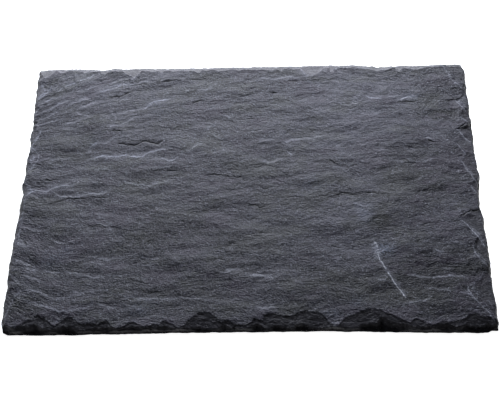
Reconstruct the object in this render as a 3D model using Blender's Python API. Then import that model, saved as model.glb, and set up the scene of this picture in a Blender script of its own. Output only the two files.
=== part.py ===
"""A riven slate slab, split along its cleavage and dressed to a rectangle by hand.

One piece of stone, 300 mm wide, 200 mm deep and 6 mm thick, resting on its underside with the
origin under its middle: +X runs along the front edge, +Y towards the back edge, +Z up.
Run it with: blender --background --python part.py

Sizes are in millimetres. The mesh is scaled to metres once, when its points are placed.
"""

from dataclasses import dataclass

import bmesh
import bpy
import numpy as np

METRE = 0.001  # one millimetre, in metres

# Driving dimensions
LENGTH = 300.0
DEPTH = 200.0
THICKNESS = 5.9
COLUMNS = 170  # grid cells along X, before the mesh is thinned
ROWS = 124  # grid cells along Y, before the mesh is thinned
TRIANGLES = 8600  # the finished solid

# The dressed rim
FOOT = 0.8  # height at which the rim leaves the underside
RIM_SLOPE = 1.55  # rise of the broken rim for each millimetre inwards
BEVEL_RUN = 3.2  # mean reach of the ragged bevel into the face
BEVEL_LIP = 3.6  # height of the bevel at the rim
EDGE_ZONE = 0.82  # share of the half size from which the grid follows the ragged outline

# Finish
SLATE_COLOUR = (0.068, 0.072, 0.085, 1.0)
SLATE_ROUGHNESS = 0.62


@dataclass(frozen=True)
class Chip:
    """A flake struck off one edge: where its scar is deepest and how far it runs each way."""

    peak: float  # place along the edge
    before: float  # reach towards lower places
    after: float  # reach towards higher places
    depth: float  # reach into the face at the peak
    lip: float = 3.4  # height of the scar at the rim
    bow: float = 1.5  # 1 is a straight-sided notch, 2 a round scallop


@dataclass(frozen=True)
class Ledge:
    """The broken end of a cleavage layer, along a path across the face.

    A positive drop lowers the ground on the left of the path, a negative one on its right.
    """

    path: tuple  # points (x, y)
    drop: float  # height of the step
    riser: float = 0.9  # width of the step
    reach: float = 9.0  # distance in which the lowered ground comes back up


# Outward offset of the cut outline from the rectangle, as (place along the edge, offset)
FRONT_OUTLINE = ((-150, -1.2), (-147, 0.3), (-122, 0.6), (-95, 0.0), (-70, -0.3), (-40, -0.7),
                 (-5, -1.0), (45, -1.2), (80, -0.8), (105, -0.1), (130, 0.2), (144, 0.2),
                 (146, -0.9), (150, -1.2))
BACK_OUTLINE = ((-150, -1.6), (-143, 0.4), (-126, 0.6), (-105, -0.2), (-97, 0.5), (-86, 0.0),
                (-70, 0.3), (-45, -0.2), (-35, 0.3), (10, 0.3), (76, 0.4), (86, -0.6),
                (90, -1.7), (93, -1.0), (101, -1.0), (118, -0.5), (131, -0.3), (133, 0.2),
                (145, 0.1), (150, -0.9))
LEFT_OUTLINE = ((-100, -1.4), (-96, 0.2), (-78, 0.5), (-66, 0.0), (-57, 0.9), (-40, 0.6),
                (-25, 0.3), (-10, 0.0), (-3, -1.1), (4, 0.0), (12, -0.4), (24, 0.1), (36, -0.5),
                (42, 0.1), (47, -0.6), (56, -0.1), (80, 0.9), (92, 0.5), (100, -0.2))
RIGHT_OUTLINE = ((-100, -0.6), (-95, 0.1), (-84, 0.4), (-75, -0.4), (-60, -0.2), (-40, 0.0),
                 (-24, -0.1), (-16, -0.9), (-5, -0.9), (7, 0.9), (20, 0.0), (28, 0.4), (40, 0.5),
                 (72, 0.4), (86, 0.3), (96, 0.2), (100, -1.0))
TEETH = ((0.28, 4.1), (0.2, 7.3), (0.16, 2.9))  # height and pitch of the fine teeth of the rim

FRONT_CHIPS = (
    Chip(-145, 5, 7, 8.0, 2.6), Chip(-127, 12, 9, 10.5), Chip(-108.5, 7, 14, 9.0),
    Chip(-85, 7, 8, 7.5), Chip(-68, 9, 9, 4.8), Chip(-50, 10, 10, 5.4),
    Chip(-26, 12.5, 13, 12.2, 3.6), Chip(-10, 6, 8, 6.0), Chip(9, 6, 8, 7.6),
    Chip(20, 9, 10, 9.4), Chip(35, 9, 14, 13.2, 3.4, 1.2), Chip(78, 22, 9, 13.8, 3.6),
    Chip(89, 8, 12, 9.6), Chip(108, 6, 5, 5.0), Chip(117, 6, 7, 6.2), Chip(127, 6, 7, 5.4),
    Chip(137, 5, 13, 9.6, 2.8),
)
BACK_CHIPS = (
    Chip(-144, 8, 9, 12.3, 2.4), Chip(-133, 8, 9, 7.4), Chip(-117, 4, 7.5, 7.0),
    Chip(-102.5, 5, 5.5, 8.2, 3.0), Chip(-81.5, 14, 9, 12.2, 2.6, 1.1), Chip(-70, 5, 6, 6.6),
    Chip(-62.5, 3.5, 5, 8.6), Chip(-52, 7, 8, 6.0), Chip(-37, 5, 6, 8.6), Chip(-20, 6, 5, 7.4),
    Chip(-9, 4, 4, 5.2), Chip(5, 6, 8, 6.2), Chip(22.5, 8, 3, 8.2, 3.0, 1.1),
    Chip(29, 5, 5, 6.4), Chip(42, 8.5, 12, 12.6, 2.4, 1.7), Chip(55.5, 4, 6, 9.2),
    Chip(68, 8, 8, 5.2), Chip(88, 11, 13, 7.4, 2.8), Chip(104.5, 4.5, 4, 9.8, 3.2, 1.1),
    Chip(117, 7, 6, 7.8), Chip(128, 4, 4, 5.4), Chip(143, 10, 9, 6.0, 4.2),
)
LEFT_CHIPS = (
    Chip(-78, 13, 4, 9.6, 3.8, 1.2), Chip(-66, 5, 5, 4.6), Chip(-56, 6, 6, 4.0),
    Chip(-45, 6, 6, 3.6), Chip(-32, 8, 7, 4.6), Chip(-18, 8, 8, 4.0),
    Chip(-1, 9, 3, 11.0, 4.2, 1.1), Chip(16, 5, 3, 7.0), Chip(24, 9, 3, 9.2, 3.4, 1.2),
    Chip(29, 3, 3, 5.6, 2.0), Chip(44, 9, 3, 8.0, 3.6, 1.2), Chip(52, 4, 3, 6.0, 1.8),
    Chip(62, 5, 6, 4.2), Chip(80, 10, 7, 11.0, 4.8, 1.3), Chip(91, 6, 6, 6.0, 2.8),
)
RIGHT_CHIPS = (
    Chip(-82, 6, 5, 5.2), Chip(-72, 24, 4, 16.0, 4.0, 1.1), Chip(-51, 7, 4, 6.4),
    Chip(-45, 16, 3, 8.8, 3.6, 1.2), Chip(-25, 23, 4, 15.0, 4.2, 1.0),
    Chip(-20, 3.5, 2, 9.0, 1.8, 1.1), Chip(-13, 4, 3, 6.0, 2.6), Chip(-2, 9, 3, 6.8),
    Chip(17.5, 18, 2.5, 11.2, 4.0, 1.0), Chip(30, 10, 3, 12.4, 3.8, 1.1),
    Chip(42, 12, 2, 11.0, 3.8, 1.1), Chip(43, 4.5, 2.5, 10.5, 1.2, 1.2),
    Chip(51.5, 6, 2.5, 8.0, 3.0), Chip(65, 10, 3, 9.2, 3.4, 1.1), Chip(72, 3.5, 4, 6.0),
    Chip(90, 17, 9, 15.0, 3.4, 1.0),
)

LEDGES = (
    # upper left
    Ledge(((-149, 86.5), (-143, 86), (-137, 87.5), (-129, 85.5)), -0.7, 0.8, 14),
    Ledge(((-132, 81.5), (-126, 83.5), (-121, 84.5), (-114, 88.5), (-108, 92.5)), 0.55),
    Ledge(((-108, 76), (-99, 79), (-88, 83), (-75, 85.5), (-66, 85)), 0.6, 0.9, 12),
    Ledge(((-98, 72), (-90, 73), (-83, 76)), -0.6, 0.6),
    Ledge(((-140, 63), (-131, 66), (-127, 69)), 0.45),
    Ledge(((-119, 62.5), (-109, 67.5), (-103, 69.5)), 0.4),
    Ledge(((-118, 52), (-112, 54.5), (-105, 57.5)), 0.4),
    Ledge(((-97, 44), (-91, 43.5), (-85, 44)), -0.6, 0.6),
    Ledge(((-99, 46.5), (-88, 49), (-81, 53.5), (-74, 56)), 0.4),
    Ledge(((-73, 61), (-70, 65.5), (-62, 69.5), (-52, 70.5)), 0.5),
    Ledge(((-61, 84), (-52, 86.5), (-47, 86.5)), -0.6, 0.7),
    Ledge(((-47, 65), (-40, 66), (-33, 68.5), (-28, 68)), -0.6, 0.7),
    Ledge(((-15, 70), (-5, 71.5), (4, 73)), -0.4),
    # upper right
    Ledge(((26, 82.5), (35, 84), (55, 85), (80, 84)), -0.4),
    Ledge(((9, 72), (20, 74)), -0.5, 0.7),
    Ledge(((79, 69), (85, 68), (92, 67.5)), 0.6, 0.7),
    Ledge(((100, 64.5), (108, 65), (116, 66)), -0.7, 0.7, 7),
    Ledge(((134, 64.5), (142, 67), (149, 71)), -0.8, 0.8, 7),
    Ledge(((117, 52), (122, 56), (132, 59), (146, 57.5)), -0.5, 1.4, 16),
    Ledge(((118, 33.5), (121, 32.5), (125, 32)), -0.6, 0.6, 5),
    Ledge(((92, 18), (105, 18.5), (112, 17), (126, 19)), 0.35),
    Ledge(((74, -5.5), (80, -6.8), (92, -7)), -0.6, 0.6),
    # left middle
    Ledge(((-108, 27), (-105, 32), (-102, 36)), 0.5, 0.9, 5),
    Ledge(((-90, 33.5), (-80, 32.5), (-70, 35), (-63, 33.5), (-55, 36)), -0.8, 0.6, 8),
    Ledge(((-111, 20.5), (-100, 23.5), (-88, 24), (-72, 23.5), (-62, 28.5), (-49, 30.5)), 0.6),
    Ledge(((-60, 23.5), (-54, 20), (-50, 20), (-46, 22.5)), 0.5),
    Ledge(((-148, -8), (-140, -2), (-133, -3), (-124, 1), (-110, 2.5)), 0.6),
    Ledge(((-130, -5), (-122, -7), (-109, -7), (-101, -5), (-90, -4)), 0.45, 0.8, 6),
    Ledge(((-132, -12.5), (-125, -11), (-117, -8.3), (-98, -7.5), (-88, -7.5)), -0.7, 0.7),
    Ledge(((-104, -28.5), (-93, -30), (-80, -28)), -0.55, 0.7),
    # centre
    Ledge(((-67, 12), (-54, 12.5), (-45, 12)), -0.55, 0.8),
    Ledge(((-30, 8), (-17, 9), (-8, 6), (0, 7.5)), -0.5, 0.7),
    Ledge(((22, 34), (35, 36), (52, 38)), 0.4),
    Ledge(((35, 27.5), (50, 27), (62, 26)), -0.45),
    Ledge(((38, 16.5), (50, 19.5), (55, 18), (60, 14)), -0.5, 0.7),
    Ledge(((-3, -13), (5, -15.5), (13, -15.5)), -0.55, 0.7),
    Ledge(((52, -9.5), (57, -7), (63, -6), (70, -9)), -0.55, 0.7),
    # lower half
    Ledge(((-75, -64), (-68, -67), (-59, -70)), -0.5),
    Ledge(((-147, -82), (-140, -73), (-131, -73.5), (-120, -78)), 0.4),
    Ledge(((-142, -77.5), (-129, -82.5), (-113, -87), (-100, -85), (-92, -82)), 0.6),
    Ledge(((-80, -77), (-60, -79), (-45, -79), (-30, -78.5), (-8, -81)), 0.4),
    Ledge(((-104, -49), (-86, -52.5), (-75, -50)), 0.4),
    Ledge(((96, -63), (108, -66.5), (120, -65), (135, -65.5)), 0.35),
    Ledge(((96, -83), (104, -81), (113, -79)), 0.5, 0.8, 6),
    Ledge(((77.5, -40), (81, -48), (83, -57), (90, -70), (96, -82)), 0.7, 0.9, 7),
    Ledge(((50, -43), (59, -45.5), (70, -47)), -0.4),
)

# Broad swells of the cleavage: height, wavelength along x and y, phase
SWELLS = ((0.22, 190.0, 74.0, 0.4), (0.16, -120.0, 41.0, 2.1), (0.12, 83.0, 27.0, 4.0),
          (0.08, 61.0, 17.0, 1.2), (0.06, -47.0, 12.0, 5.3))

# Shallow flakes lost from the underside: centre, half sizes, depth
UNDER_SCARS = ((-104.0, 58.0, 34.0, 21.0, 0.8), (71.0, 66.0, 42.0, 16.0, 0.6),
               (112.0, -38.0, 25.0, 33.0, 0.7), (-88.0, -63.0, 40.0, 18.0, 0.7),
               (18.0, -72.0, 31.0, 13.0, 0.5))


def smooth(value):
    """Ease from 0 to 1 as the value does."""
    share = np.clip(value, 0.0, 1.0)
    return share * share * (3.0 - 2.0 * share)


def teeth(place, phase):
    """Fine irregular teeth along an edge."""
    return sum(
        height * np.sin(2.0 * np.pi * place / pitch + phase * (1 + number))
        for number, (height, pitch) in enumerate(TEETH)
    )


def outline_offset(outline, place, phase):
    """Outward offset of one cut edge at each place along it."""
    stations, offsets = zip(*outline)
    return np.interp(place, stations, offsets) + teeth(place, phase)


def edge_distances(x, y):
    """Distance inwards from each cut edge, as (distance, place along it, chips)."""
    return (
        (y + DEPTH / 2 + outline_offset(FRONT_OUTLINE, x, 0.7), x, FRONT_CHIPS),
        (DEPTH / 2 + outline_offset(BACK_OUTLINE, x, 1.9) - y, x, BACK_CHIPS),
        (x + LENGTH / 2 + outline_offset(LEFT_OUTLINE, y, 3.1), y, LEFT_CHIPS),
        (LENGTH / 2 + outline_offset(RIGHT_OUTLINE, y, 4.3) - x, y, RIGHT_CHIPS),
    )


def follow_outline(x, y):
    """Move the grid's outer cells so that its border is the ragged outline."""
    near_x = smooth((np.abs(x) / (LENGTH / 2) - EDGE_ZONE) / (1.0 - EDGE_ZONE))
    near_y = smooth((np.abs(y) / (DEPTH / 2) - EDGE_ZONE) / (1.0 - EDGE_ZONE))
    left = -outline_offset(LEFT_OUTLINE, y, 3.1)
    right = outline_offset(RIGHT_OUTLINE, y, 4.3)
    front = -outline_offset(FRONT_OUTLINE, x, 0.7)
    back = outline_offset(BACK_OUTLINE, x, 1.9)
    return x + near_x * np.where(x < 0, left, right), y + near_y * np.where(y < 0, front, back)


def bowl(inward, reach, lip):
    """Height of a hollow scar that rises from its lip to the face over its reach."""
    share = np.clip(inward / np.maximum(reach, 0.01), 0.0, 1.0)
    limit = lip + (THICKNESS - lip) * share**1.6
    return np.where(inward < reach, limit, np.inf)


def chip_height(chip, inward, place):
    """Height that one chip leaves."""
    along = place - chip.peak
    run = np.where(along < 0, -along / chip.before, along / chip.after)
    reach = chip.depth * (1.0 - np.clip(run, 0.0, 1.0) ** chip.bow)
    return np.where(run < 1.0, bowl(inward, reach, chip.lip), np.inf)


def rim_height(x, y):
    """Greatest height that the broken rim, its bevel and its chips leave."""
    height = np.full_like(x, np.inf)
    for inward, place, chips in edge_distances(x, y):
        wall = FOOT + RIM_SLOPE * np.maximum(inward, 0.0) + 0.25 * np.sin(place / 2.3)
        run = BEVEL_RUN * (1.0 + 0.3 * np.sin(place / 3.7) * np.sin(place / 8.9))
        height = np.minimum(height, np.minimum(wall, bowl(inward, run, BEVEL_LIP)))
        for chip in chips:
            height = np.minimum(height, chip_height(chip, inward, place))
    return height


def ledge_drop(ledge, x, y):
    """Depth by which one ledge lowers the ground beside its path."""
    nearest = np.full_like(x, np.inf)
    side = np.zeros_like(x)
    ends = np.zeros_like(x)
    points = np.array(ledge.path, float)
    legs = len(points) - 1
    for leg in range(legs):
        start, run = points[leg], points[leg + 1] - points[leg]
        free = ((x - start[0]) * run[0] + (y - start[1]) * run[1]) / (run @ run)
        share = np.clip(free, 0.0, 1.0)
        gap_x = x - start[0] - share * run[0]
        gap_y = y - start[1] - share * run[1]
        gap = np.hypot(gap_x, gap_y)
        closer = gap < nearest
        nearest = np.where(closer, gap, nearest)
        side = np.where(closer, np.sign(run[0] * gap_y - run[1] * gap_x), side)
        ends = np.where(closer, (leg + share) / legs, ends)
    away = nearest * side * np.sign(ledge.drop)
    step = smooth(away / ledge.riser + 0.5)
    fade = np.exp(-((np.maximum(away, 0.0) / ledge.reach) ** 2))
    return abs(ledge.drop) * step * fade * smooth(ends * 5.0) * smooth((1.0 - ends) * 5.0)


def swell_height(x, y):
    """Broad waves of the split face."""
    return sum(
        height * np.sin(2.0 * np.pi * (x / length_x + y / length_y) + phase)
        for height, length_x, length_y, phase in SWELLS
    )


def top_height(x, y):
    """Height of the riven face, down to the rim."""
    face = THICKNESS + swell_height(x, y)
    for ledge in LEDGES:
        face = face - ledge_drop(ledge, x, y)
    return np.minimum(face, rim_height(x, y))


def underside_height(x, y):
    """Height of the underside: flat, but for the shallow scars of lost flakes."""
    height = np.zeros_like(x)
    for centre_x, centre_y, half_x, half_y, depth in UNDER_SCARS:
        away = np.hypot((x - centre_x) / half_x, (y - centre_y) / half_y)
        turn = np.arctan2(y - centre_y, x - centre_x)
        ragged = 1.0 + 0.1 * np.sin(2.0 * turn + centre_x) + 0.06 * np.sin(7.0 * turn + centre_y)
        height = np.maximum(height, depth * smooth(3.0 * (1.0 - away / ragged)))
    return height


def eased(share):
    """Grid place in -1..1, with cells drawn towards the edges."""
    return 0.72 * share + 0.28 * np.sin(share * np.pi / 2)


def add_sheet(mesh, columns, rows, level):
    """A flat grid at one level, its cells finer at the edges, and its vertices."""
    made = bmesh.ops.create_grid(mesh, x_segments=columns, y_segments=rows, size=1.0)["verts"]
    for vertex in made:
        vertex.co = (
            eased(vertex.co.x) * LENGTH / 2,
            eased(vertex.co.y) * DEPTH / 2,
            level,
        )
    return made


def slab_mesh(name, columns, rows):
    """The closed slab: a top and an underside grid, joined round the rim."""
    mesh = bmesh.new()
    underside = add_sheet(mesh, columns, rows, 0.0)
    bmesh.ops.reverse_faces(mesh, faces=mesh.faces[:])
    top = add_sheet(mesh, columns, rows, THICKNESS)
    rims = [edge for edge in mesh.edges if edge.is_boundary]
    bmesh.ops.bridge_loops(mesh, edges=rims)
    for vertices, height in ((underside, underside_height), (top, top_height)):
        flat = np.array([vertex.co[:2] for vertex in vertices])
        x, y = follow_outline(flat[:, 0], flat[:, 1])
        heights = height(x, y)
        for vertex, place in zip(vertices, zip(x, y, heights)):
            vertex.co = [value * METRE for value in place]
    bmesh.ops.recalc_face_normals(mesh, faces=mesh.faces[:])
    data = bpy.data.meshes.new(name)
    mesh.to_mesh(data)
    mesh.free()
    return data


def thinned(slab, triangles):
    """The slab's mesh with its flat ground thinned to the given number of triangles."""
    slab.data.calc_loop_triangles()
    thin = slab.modifiers.new("Thin", "DECIMATE")
    thin.ratio = triangles / len(slab.data.loop_triangles)
    thin.use_collapse_triangulate = True
    graph = bpy.context.evaluated_depsgraph_get()
    data = bpy.data.meshes.new_from_object(slab.evaluated_get(graph))
    slab.modifiers.remove(thin)
    return data


def set_down(data, slack=0.00006):
    """Put the points that lie on the ground, to within a hair, exactly on it."""
    for vertex in data.vertices:
        if vertex.co.z < slack:
            vertex.co.z = 0.0


def slate_material():
    """Dull blue-grey slate."""
    material = bpy.data.materials.new("slate")
    material.use_nodes = True
    shader = material.node_tree.nodes["Principled BSDF"]
    shader.inputs["Base Color"].default_value = SLATE_COLOUR
    shader.inputs["Roughness"].default_value = SLATE_ROUGHNESS
    shader.inputs["Metallic"].default_value = 0.0
    return material


def clear_scene():
    """Remove every object of the open file."""
    for item in list(bpy.data.objects):
        bpy.data.objects.remove(item, do_unlink=True)


def main():
    """Build the slab in a collection of its own."""
    clear_scene()
    collection = bpy.data.collections.new("slate_slab")
    bpy.context.scene.collection.children.link(collection)
    slab = bpy.data.objects.new("slate_slab", slab_mesh("slate_slab", COLUMNS, ROWS))
    collection.objects.link(slab)
    slab.data = thinned(slab, TRIANGLES)
    set_down(slab.data)
    slab.data.materials.clear()
    slab.data.materials.append(slate_material())


main()
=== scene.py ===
"""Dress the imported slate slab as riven, hand-chipped stone and set it in a plain soft studio.

The slab is one stone. Its outline, ledges and chips follow those of the solid and are set out
finer here. One Geometry Nodes tree grows the relief of the split face and the scars round the
rim from them, and one procedural material gives the stone its finish.

Places and sizes of the stone are in millimetres until they are written to a mesh, in metres.
"""

from __future__ import annotations

import logging
import math
from dataclasses import dataclass, field
from enum import Enum
from types import MappingProxyType
from typing import Any, Iterable, Mapping, Sequence

import bpy  # noqa: E402
import numpy as np  # noqa: E402
from mathutils import Matrix, Vector  # noqa: E402
from mathutils.geometry import delaunay_2d_cdt  # noqa: E402


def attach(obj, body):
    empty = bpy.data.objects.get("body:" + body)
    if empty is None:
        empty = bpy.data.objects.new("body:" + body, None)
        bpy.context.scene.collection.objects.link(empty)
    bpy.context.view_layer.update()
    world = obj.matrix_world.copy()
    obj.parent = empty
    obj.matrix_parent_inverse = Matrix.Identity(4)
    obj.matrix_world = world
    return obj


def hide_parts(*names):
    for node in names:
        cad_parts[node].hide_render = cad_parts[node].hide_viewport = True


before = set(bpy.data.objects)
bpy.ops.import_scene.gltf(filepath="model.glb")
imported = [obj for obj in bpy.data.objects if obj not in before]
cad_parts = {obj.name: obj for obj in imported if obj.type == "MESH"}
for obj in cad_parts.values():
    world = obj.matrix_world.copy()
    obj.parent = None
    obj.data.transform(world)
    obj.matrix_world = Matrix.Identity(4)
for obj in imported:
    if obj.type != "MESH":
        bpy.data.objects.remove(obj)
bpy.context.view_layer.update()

LOG = logging.getLogger("slate_slab")
METRE = 0.001  # one millimetre, in metres

NOTHING: Mapping[Any, Any] = MappingProxyType({})
Point = tuple[float, float]
Colour = tuple[float, float, float, float]
WHITE: Colour = (1.0, 1.0, 1.0, 1.0)


def placed(name: str, data: bpy.types.ID) -> bpy.types.Object:
    """Put data in the scene as an object.

    Args:
        name: name of the object.
        data: its mesh, lamp or camera.

    Returns:
        The object.
    """
    made = bpy.data.objects.new(name, data)
    bpy.context.scene.collection.objects.link(made)
    return made


class Edge(Enum):
    """The four dressed edges of the slab, in the order that the chip table uses."""

    FRONT = 0
    BACK = 1
    LEFT = 2
    RIGHT = 3


# Node writing


class Wire:
    """One output socket of a node tree, which takes part in Python arithmetic."""

    def __init__(self, bench: Bench, socket: bpy.types.NodeSocket) -> None:
        """Wrap a socket of the bench's tree."""
        self.bench = bench
        self.socket = socket

    def math(self, operation: str, *others: Any) -> Wire:
        """Add a Math node on this value and others, numbers or wires."""
        values = dict(enumerate((self, *others)))
        return self.bench.node("ShaderNodeMath", {"operation": operation}, values)

    def __add__(self, other: Any) -> Wire:
        """This value plus another."""
        return self.math("ADD", other)

    __radd__ = __add__

    def __mul__(self, other: Any) -> Wire:
        """This value times another."""
        return self.math("MULTIPLY", other)

    __rmul__ = __mul__

    def __sub__(self, other: Any) -> Wire:
        """This value less another."""
        return self.math("SUBTRACT", other)

    def __rsub__(self, other: Any) -> Wire:
        """Another value less this one."""
        return self.bench.node("ShaderNodeMath", {"operation": "SUBTRACT"}, {0: other, 1: self})

    def __truediv__(self, other: Any) -> Wire:
        """This value over another."""
        return self.math("DIVIDE", other)

    def __pow__(self, other: Any) -> Wire:
        """This value raised to another."""
        return self.math("POWER", other)

    def __neg__(self) -> Wire:
        """This value with its sign turned."""
        return self.math("MULTIPLY", -1.0)

    def __lt__(self, other: Any) -> Wire:
        """1 where this value is the lower, else 0."""
        return self.math("LESS_THAN", other)

    def minimum(self, other: Any) -> Wire:
        """The lower of this value and another."""
        return self.math("MINIMUM", other)

    def maximum(self, other: Any) -> Wire:
        """The higher of this value and another."""
        return self.math("MAXIMUM", other)

    def floor(self) -> Wire:
        """The whole number below this value."""
        return self.math("FLOOR")

    def stepped(self, low: float, high: float) -> Wire:
        """Stairs of whole numbers, each with its riser between two shares of a tread."""
        whole = self.floor()
        return whole + (self - whole).eased(low, high)

    def held(self) -> Wire:
        """This value held between 0 and 1."""
        return self.maximum(0.0).minimum(1.0)

    def eased(self, low: Any, high: Any) -> Wire:
        """Ease from 0 at low to 1 at high.

        Args:
            low: value that gives 0.
            high: value that gives 1.

        Returns:
            The eased share.
        """
        return self.bench.node(
            "ShaderNodeMapRange",
            {"interpolation_type": "SMOOTHSTEP"},
            {"Value": self, "From Min": low, "From Max": high},
        )


class Bench:
    """Adds nodes to one tree, each in one call."""

    def __init__(self, tree: bpy.types.NodeTree) -> None:
        """Work on the given tree."""
        self.tree = tree

    def feed(self, socket: bpy.types.NodeSocket, value: Any) -> None:
        """Link a wire to a socket, or set the socket's own value.

        Args:
            socket: the input to feed.
            value: a wire or a plain value.
        """
        if isinstance(value, Wire):
            self.tree.links.new(value.socket, socket)
        else:
            socket.default_value = value

    def raw(
        self,
        kind: str,
        settings: Mapping[str, Any] = NOTHING,
        sockets: Mapping[Any, Any] = NOTHING,
    ) -> bpy.types.Node:
        """Add a node, set it up and feed it.

        Args:
            kind: the node's type.
            settings: its properties, which are set first.
            sockets: values or wires for its inputs, by name or number.

        Returns:
            The node.
        """
        made = self.tree.nodes.new(kind)
        for name, value in settings.items():
            setattr(made, name, value)
        for key, value in sockets.items():
            self.feed(made.inputs[key], value)
        return made

    def node(
        self,
        kind: str,
        settings: Mapping[str, Any] = NOTHING,
        sockets: Mapping[Any, Any] = NOTHING,
        output: int | str = 0,
    ) -> Wire:
        """Add a node as raw does, and take its output of that name or number."""
        return Wire(self, self.raw(kind, settings, sockets).outputs[output])

    def vector(self, x: Any, y: Any, z: Any) -> Wire:
        """Join three values to a vector."""
        return self.node("ShaderNodeCombineXYZ", {}, {0: x, 1: y, 2: z})

    def split(self, vector: Wire) -> tuple[Wire, Wire, Wire]:
        """Part a vector into its three values."""
        parts = self.raw("ShaderNodeSeparateXYZ", {}, {0: vector})
        return tuple(Wire(self, socket) for socket in parts.outputs)

    def noise(self, place: Wire, scale: float, detail: float, rough: float = 0.5) -> Wire:
        """Noise from 0 to 1: cells in a unit of length, octaves and their strength."""
        sockets = {"Vector": place, "Scale": scale, "Detail": detail, "Roughness": rough}
        return self.node("ShaderNodeTexNoise", {"noise_dimensions": "3D"}, sockets)

    def stretched(
        self, point: Sequence[Wire], scales: Sequence[float], detail: float, rough: float
    ) -> Wire:
        """Noise with its own number of cells in a unit of length on each axis."""
        place = self.vector(*(value * scale for value, scale in zip(point, scales)))
        return self.noise(place, 1.0, detail, rough)

    def attribute(self, name: str, kind: str = "FLOAT") -> Wire:
        """Read a named attribute in a tree of geometry."""
        return self.node("GeometryNodeInputNamedAttribute", {"data_type": kind}, {"Name": name})

    def blend(self, share: Any, low: Any, high: Any) -> Wire:
        """Mix two colours.

        Args:
            share: 0 for the first colour, 1 for the second.
            low: the first colour.
            high: the second colour.

        Returns:
            The mixed colour.
        """
        settings = {"data_type": "RGBA", "blend_type": "MIX", "clamp_factor": True}
        sockets = {0: share, 6: low, 7: high}  # by number, as its number sockets share the names
        return self.node("ShaderNodeMix", settings, sockets, 2)


# The stone's own features


@dataclass(frozen=True)
class Chip:
    """A flake struck off one edge: where its scar is deepest and how far it runs each way."""

    peak: float  # place along the edge
    before: float  # reach towards lower places
    after: float  # reach towards higher places
    depth: float  # reach into the face at the peak
    lip: float  # height of the scar at the rim
    bow: float = 1.5  # 1 is a straight-sided notch, 2 a round scallop


@dataclass(frozen=True)
class Ledge:
    """The broken end of a cleavage layer, along a path across the face.

    A positive drop lowers the ground on the left of the path, a negative one on its right.
    """

    path: tuple[Point, ...]
    drop: float  # height of the step
    riser: float = 0.9  # width of the step
    reach: float = 9.0  # distance in which the lowered ground comes back up


@dataclass(frozen=True)
class Crack:
    """A narrow open line in the face."""

    path: tuple[Point, ...]
    depth: float
    width: float = 0.5


@dataclass(frozen=True)
class Crest:
    """A crisp pale line: a painted highlight along a lit facet edge or crinkle, or a thin pale
    vein.
    """

    path: tuple[Point, ...]
    strength: float


@dataclass(frozen=True)
class Sweep:
    """A stretch of the face where the grain runs at a slope to the long side."""

    x: float
    y: float
    half_x: float
    half_y: float
    slope: float
    fans: bool = False  # the slope holds to the left of the place instead of fading on both sides


@dataclass(frozen=True)
class Stain:
    """A soft patch of another tone on the face."""

    x: float
    y: float
    half_x: float
    half_y: float
    strength: float


# Outward offset of the cut outline from the rectangle, as (place along the edge, offset)
OUTLINES: dict[Edge, tuple[Point, ...]] = {
    Edge.FRONT: (
        (-150, -1.2), (-147, 0.3), (-122, 0.6), (-95, 0.0), (-70, -0.3), (-40, -0.7),
        (-5, -1.0), (45, -1.2), (80, -0.8), (105, -0.1), (130, 0.2), (144, 0.2),
        (146, -0.9), (150, -1.2),
    ),
    Edge.BACK: (
        (-150, -0.3), (-146, 0.4), (-126, 0.6), (-105, -0.2), (-97, 0.5), (-86, 0.0),
        (-70, 0.3), (-45, -0.2), (-35, 0.3), (10, 0.3), (76, 0.4), (86, -0.6),
        (90, -1.7), (93, -1.0), (101, -1.0), (118, -0.5), (131, -0.3), (133, 0.2),
        (145, 0.1), (150, -0.9),
    ),
    Edge.LEFT: (
        (-100, -1.4), (-96, 0.2), (-78, 0.5), (-66, 0.0), (-57, 0.9), (-40, 0.6),
        (-25, 0.3), (-10, 0.0), (-3, -1.1), (4, 0.0), (12, -0.4), (24, 0.1), (36, -0.5),
        (42, 0.1), (47, -0.6), (56, -0.1), (80, 0.9), (92, 0.6), (100, 0.3),
    ),
    Edge.RIGHT: (
        (-100, -0.6), (-95, 0.1), (-84, 0.4), (-75, -0.4), (-60, -0.2), (-40, 0.0),
        (-24, -0.1), (-16, -0.9), (-5, -0.9), (7, 0.9), (20, 0.0), (28, 0.4), (40, 0.5),
        (72, 0.4), (86, 0.3), (96, 0.2), (100, -1.0),
    ),
}

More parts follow.
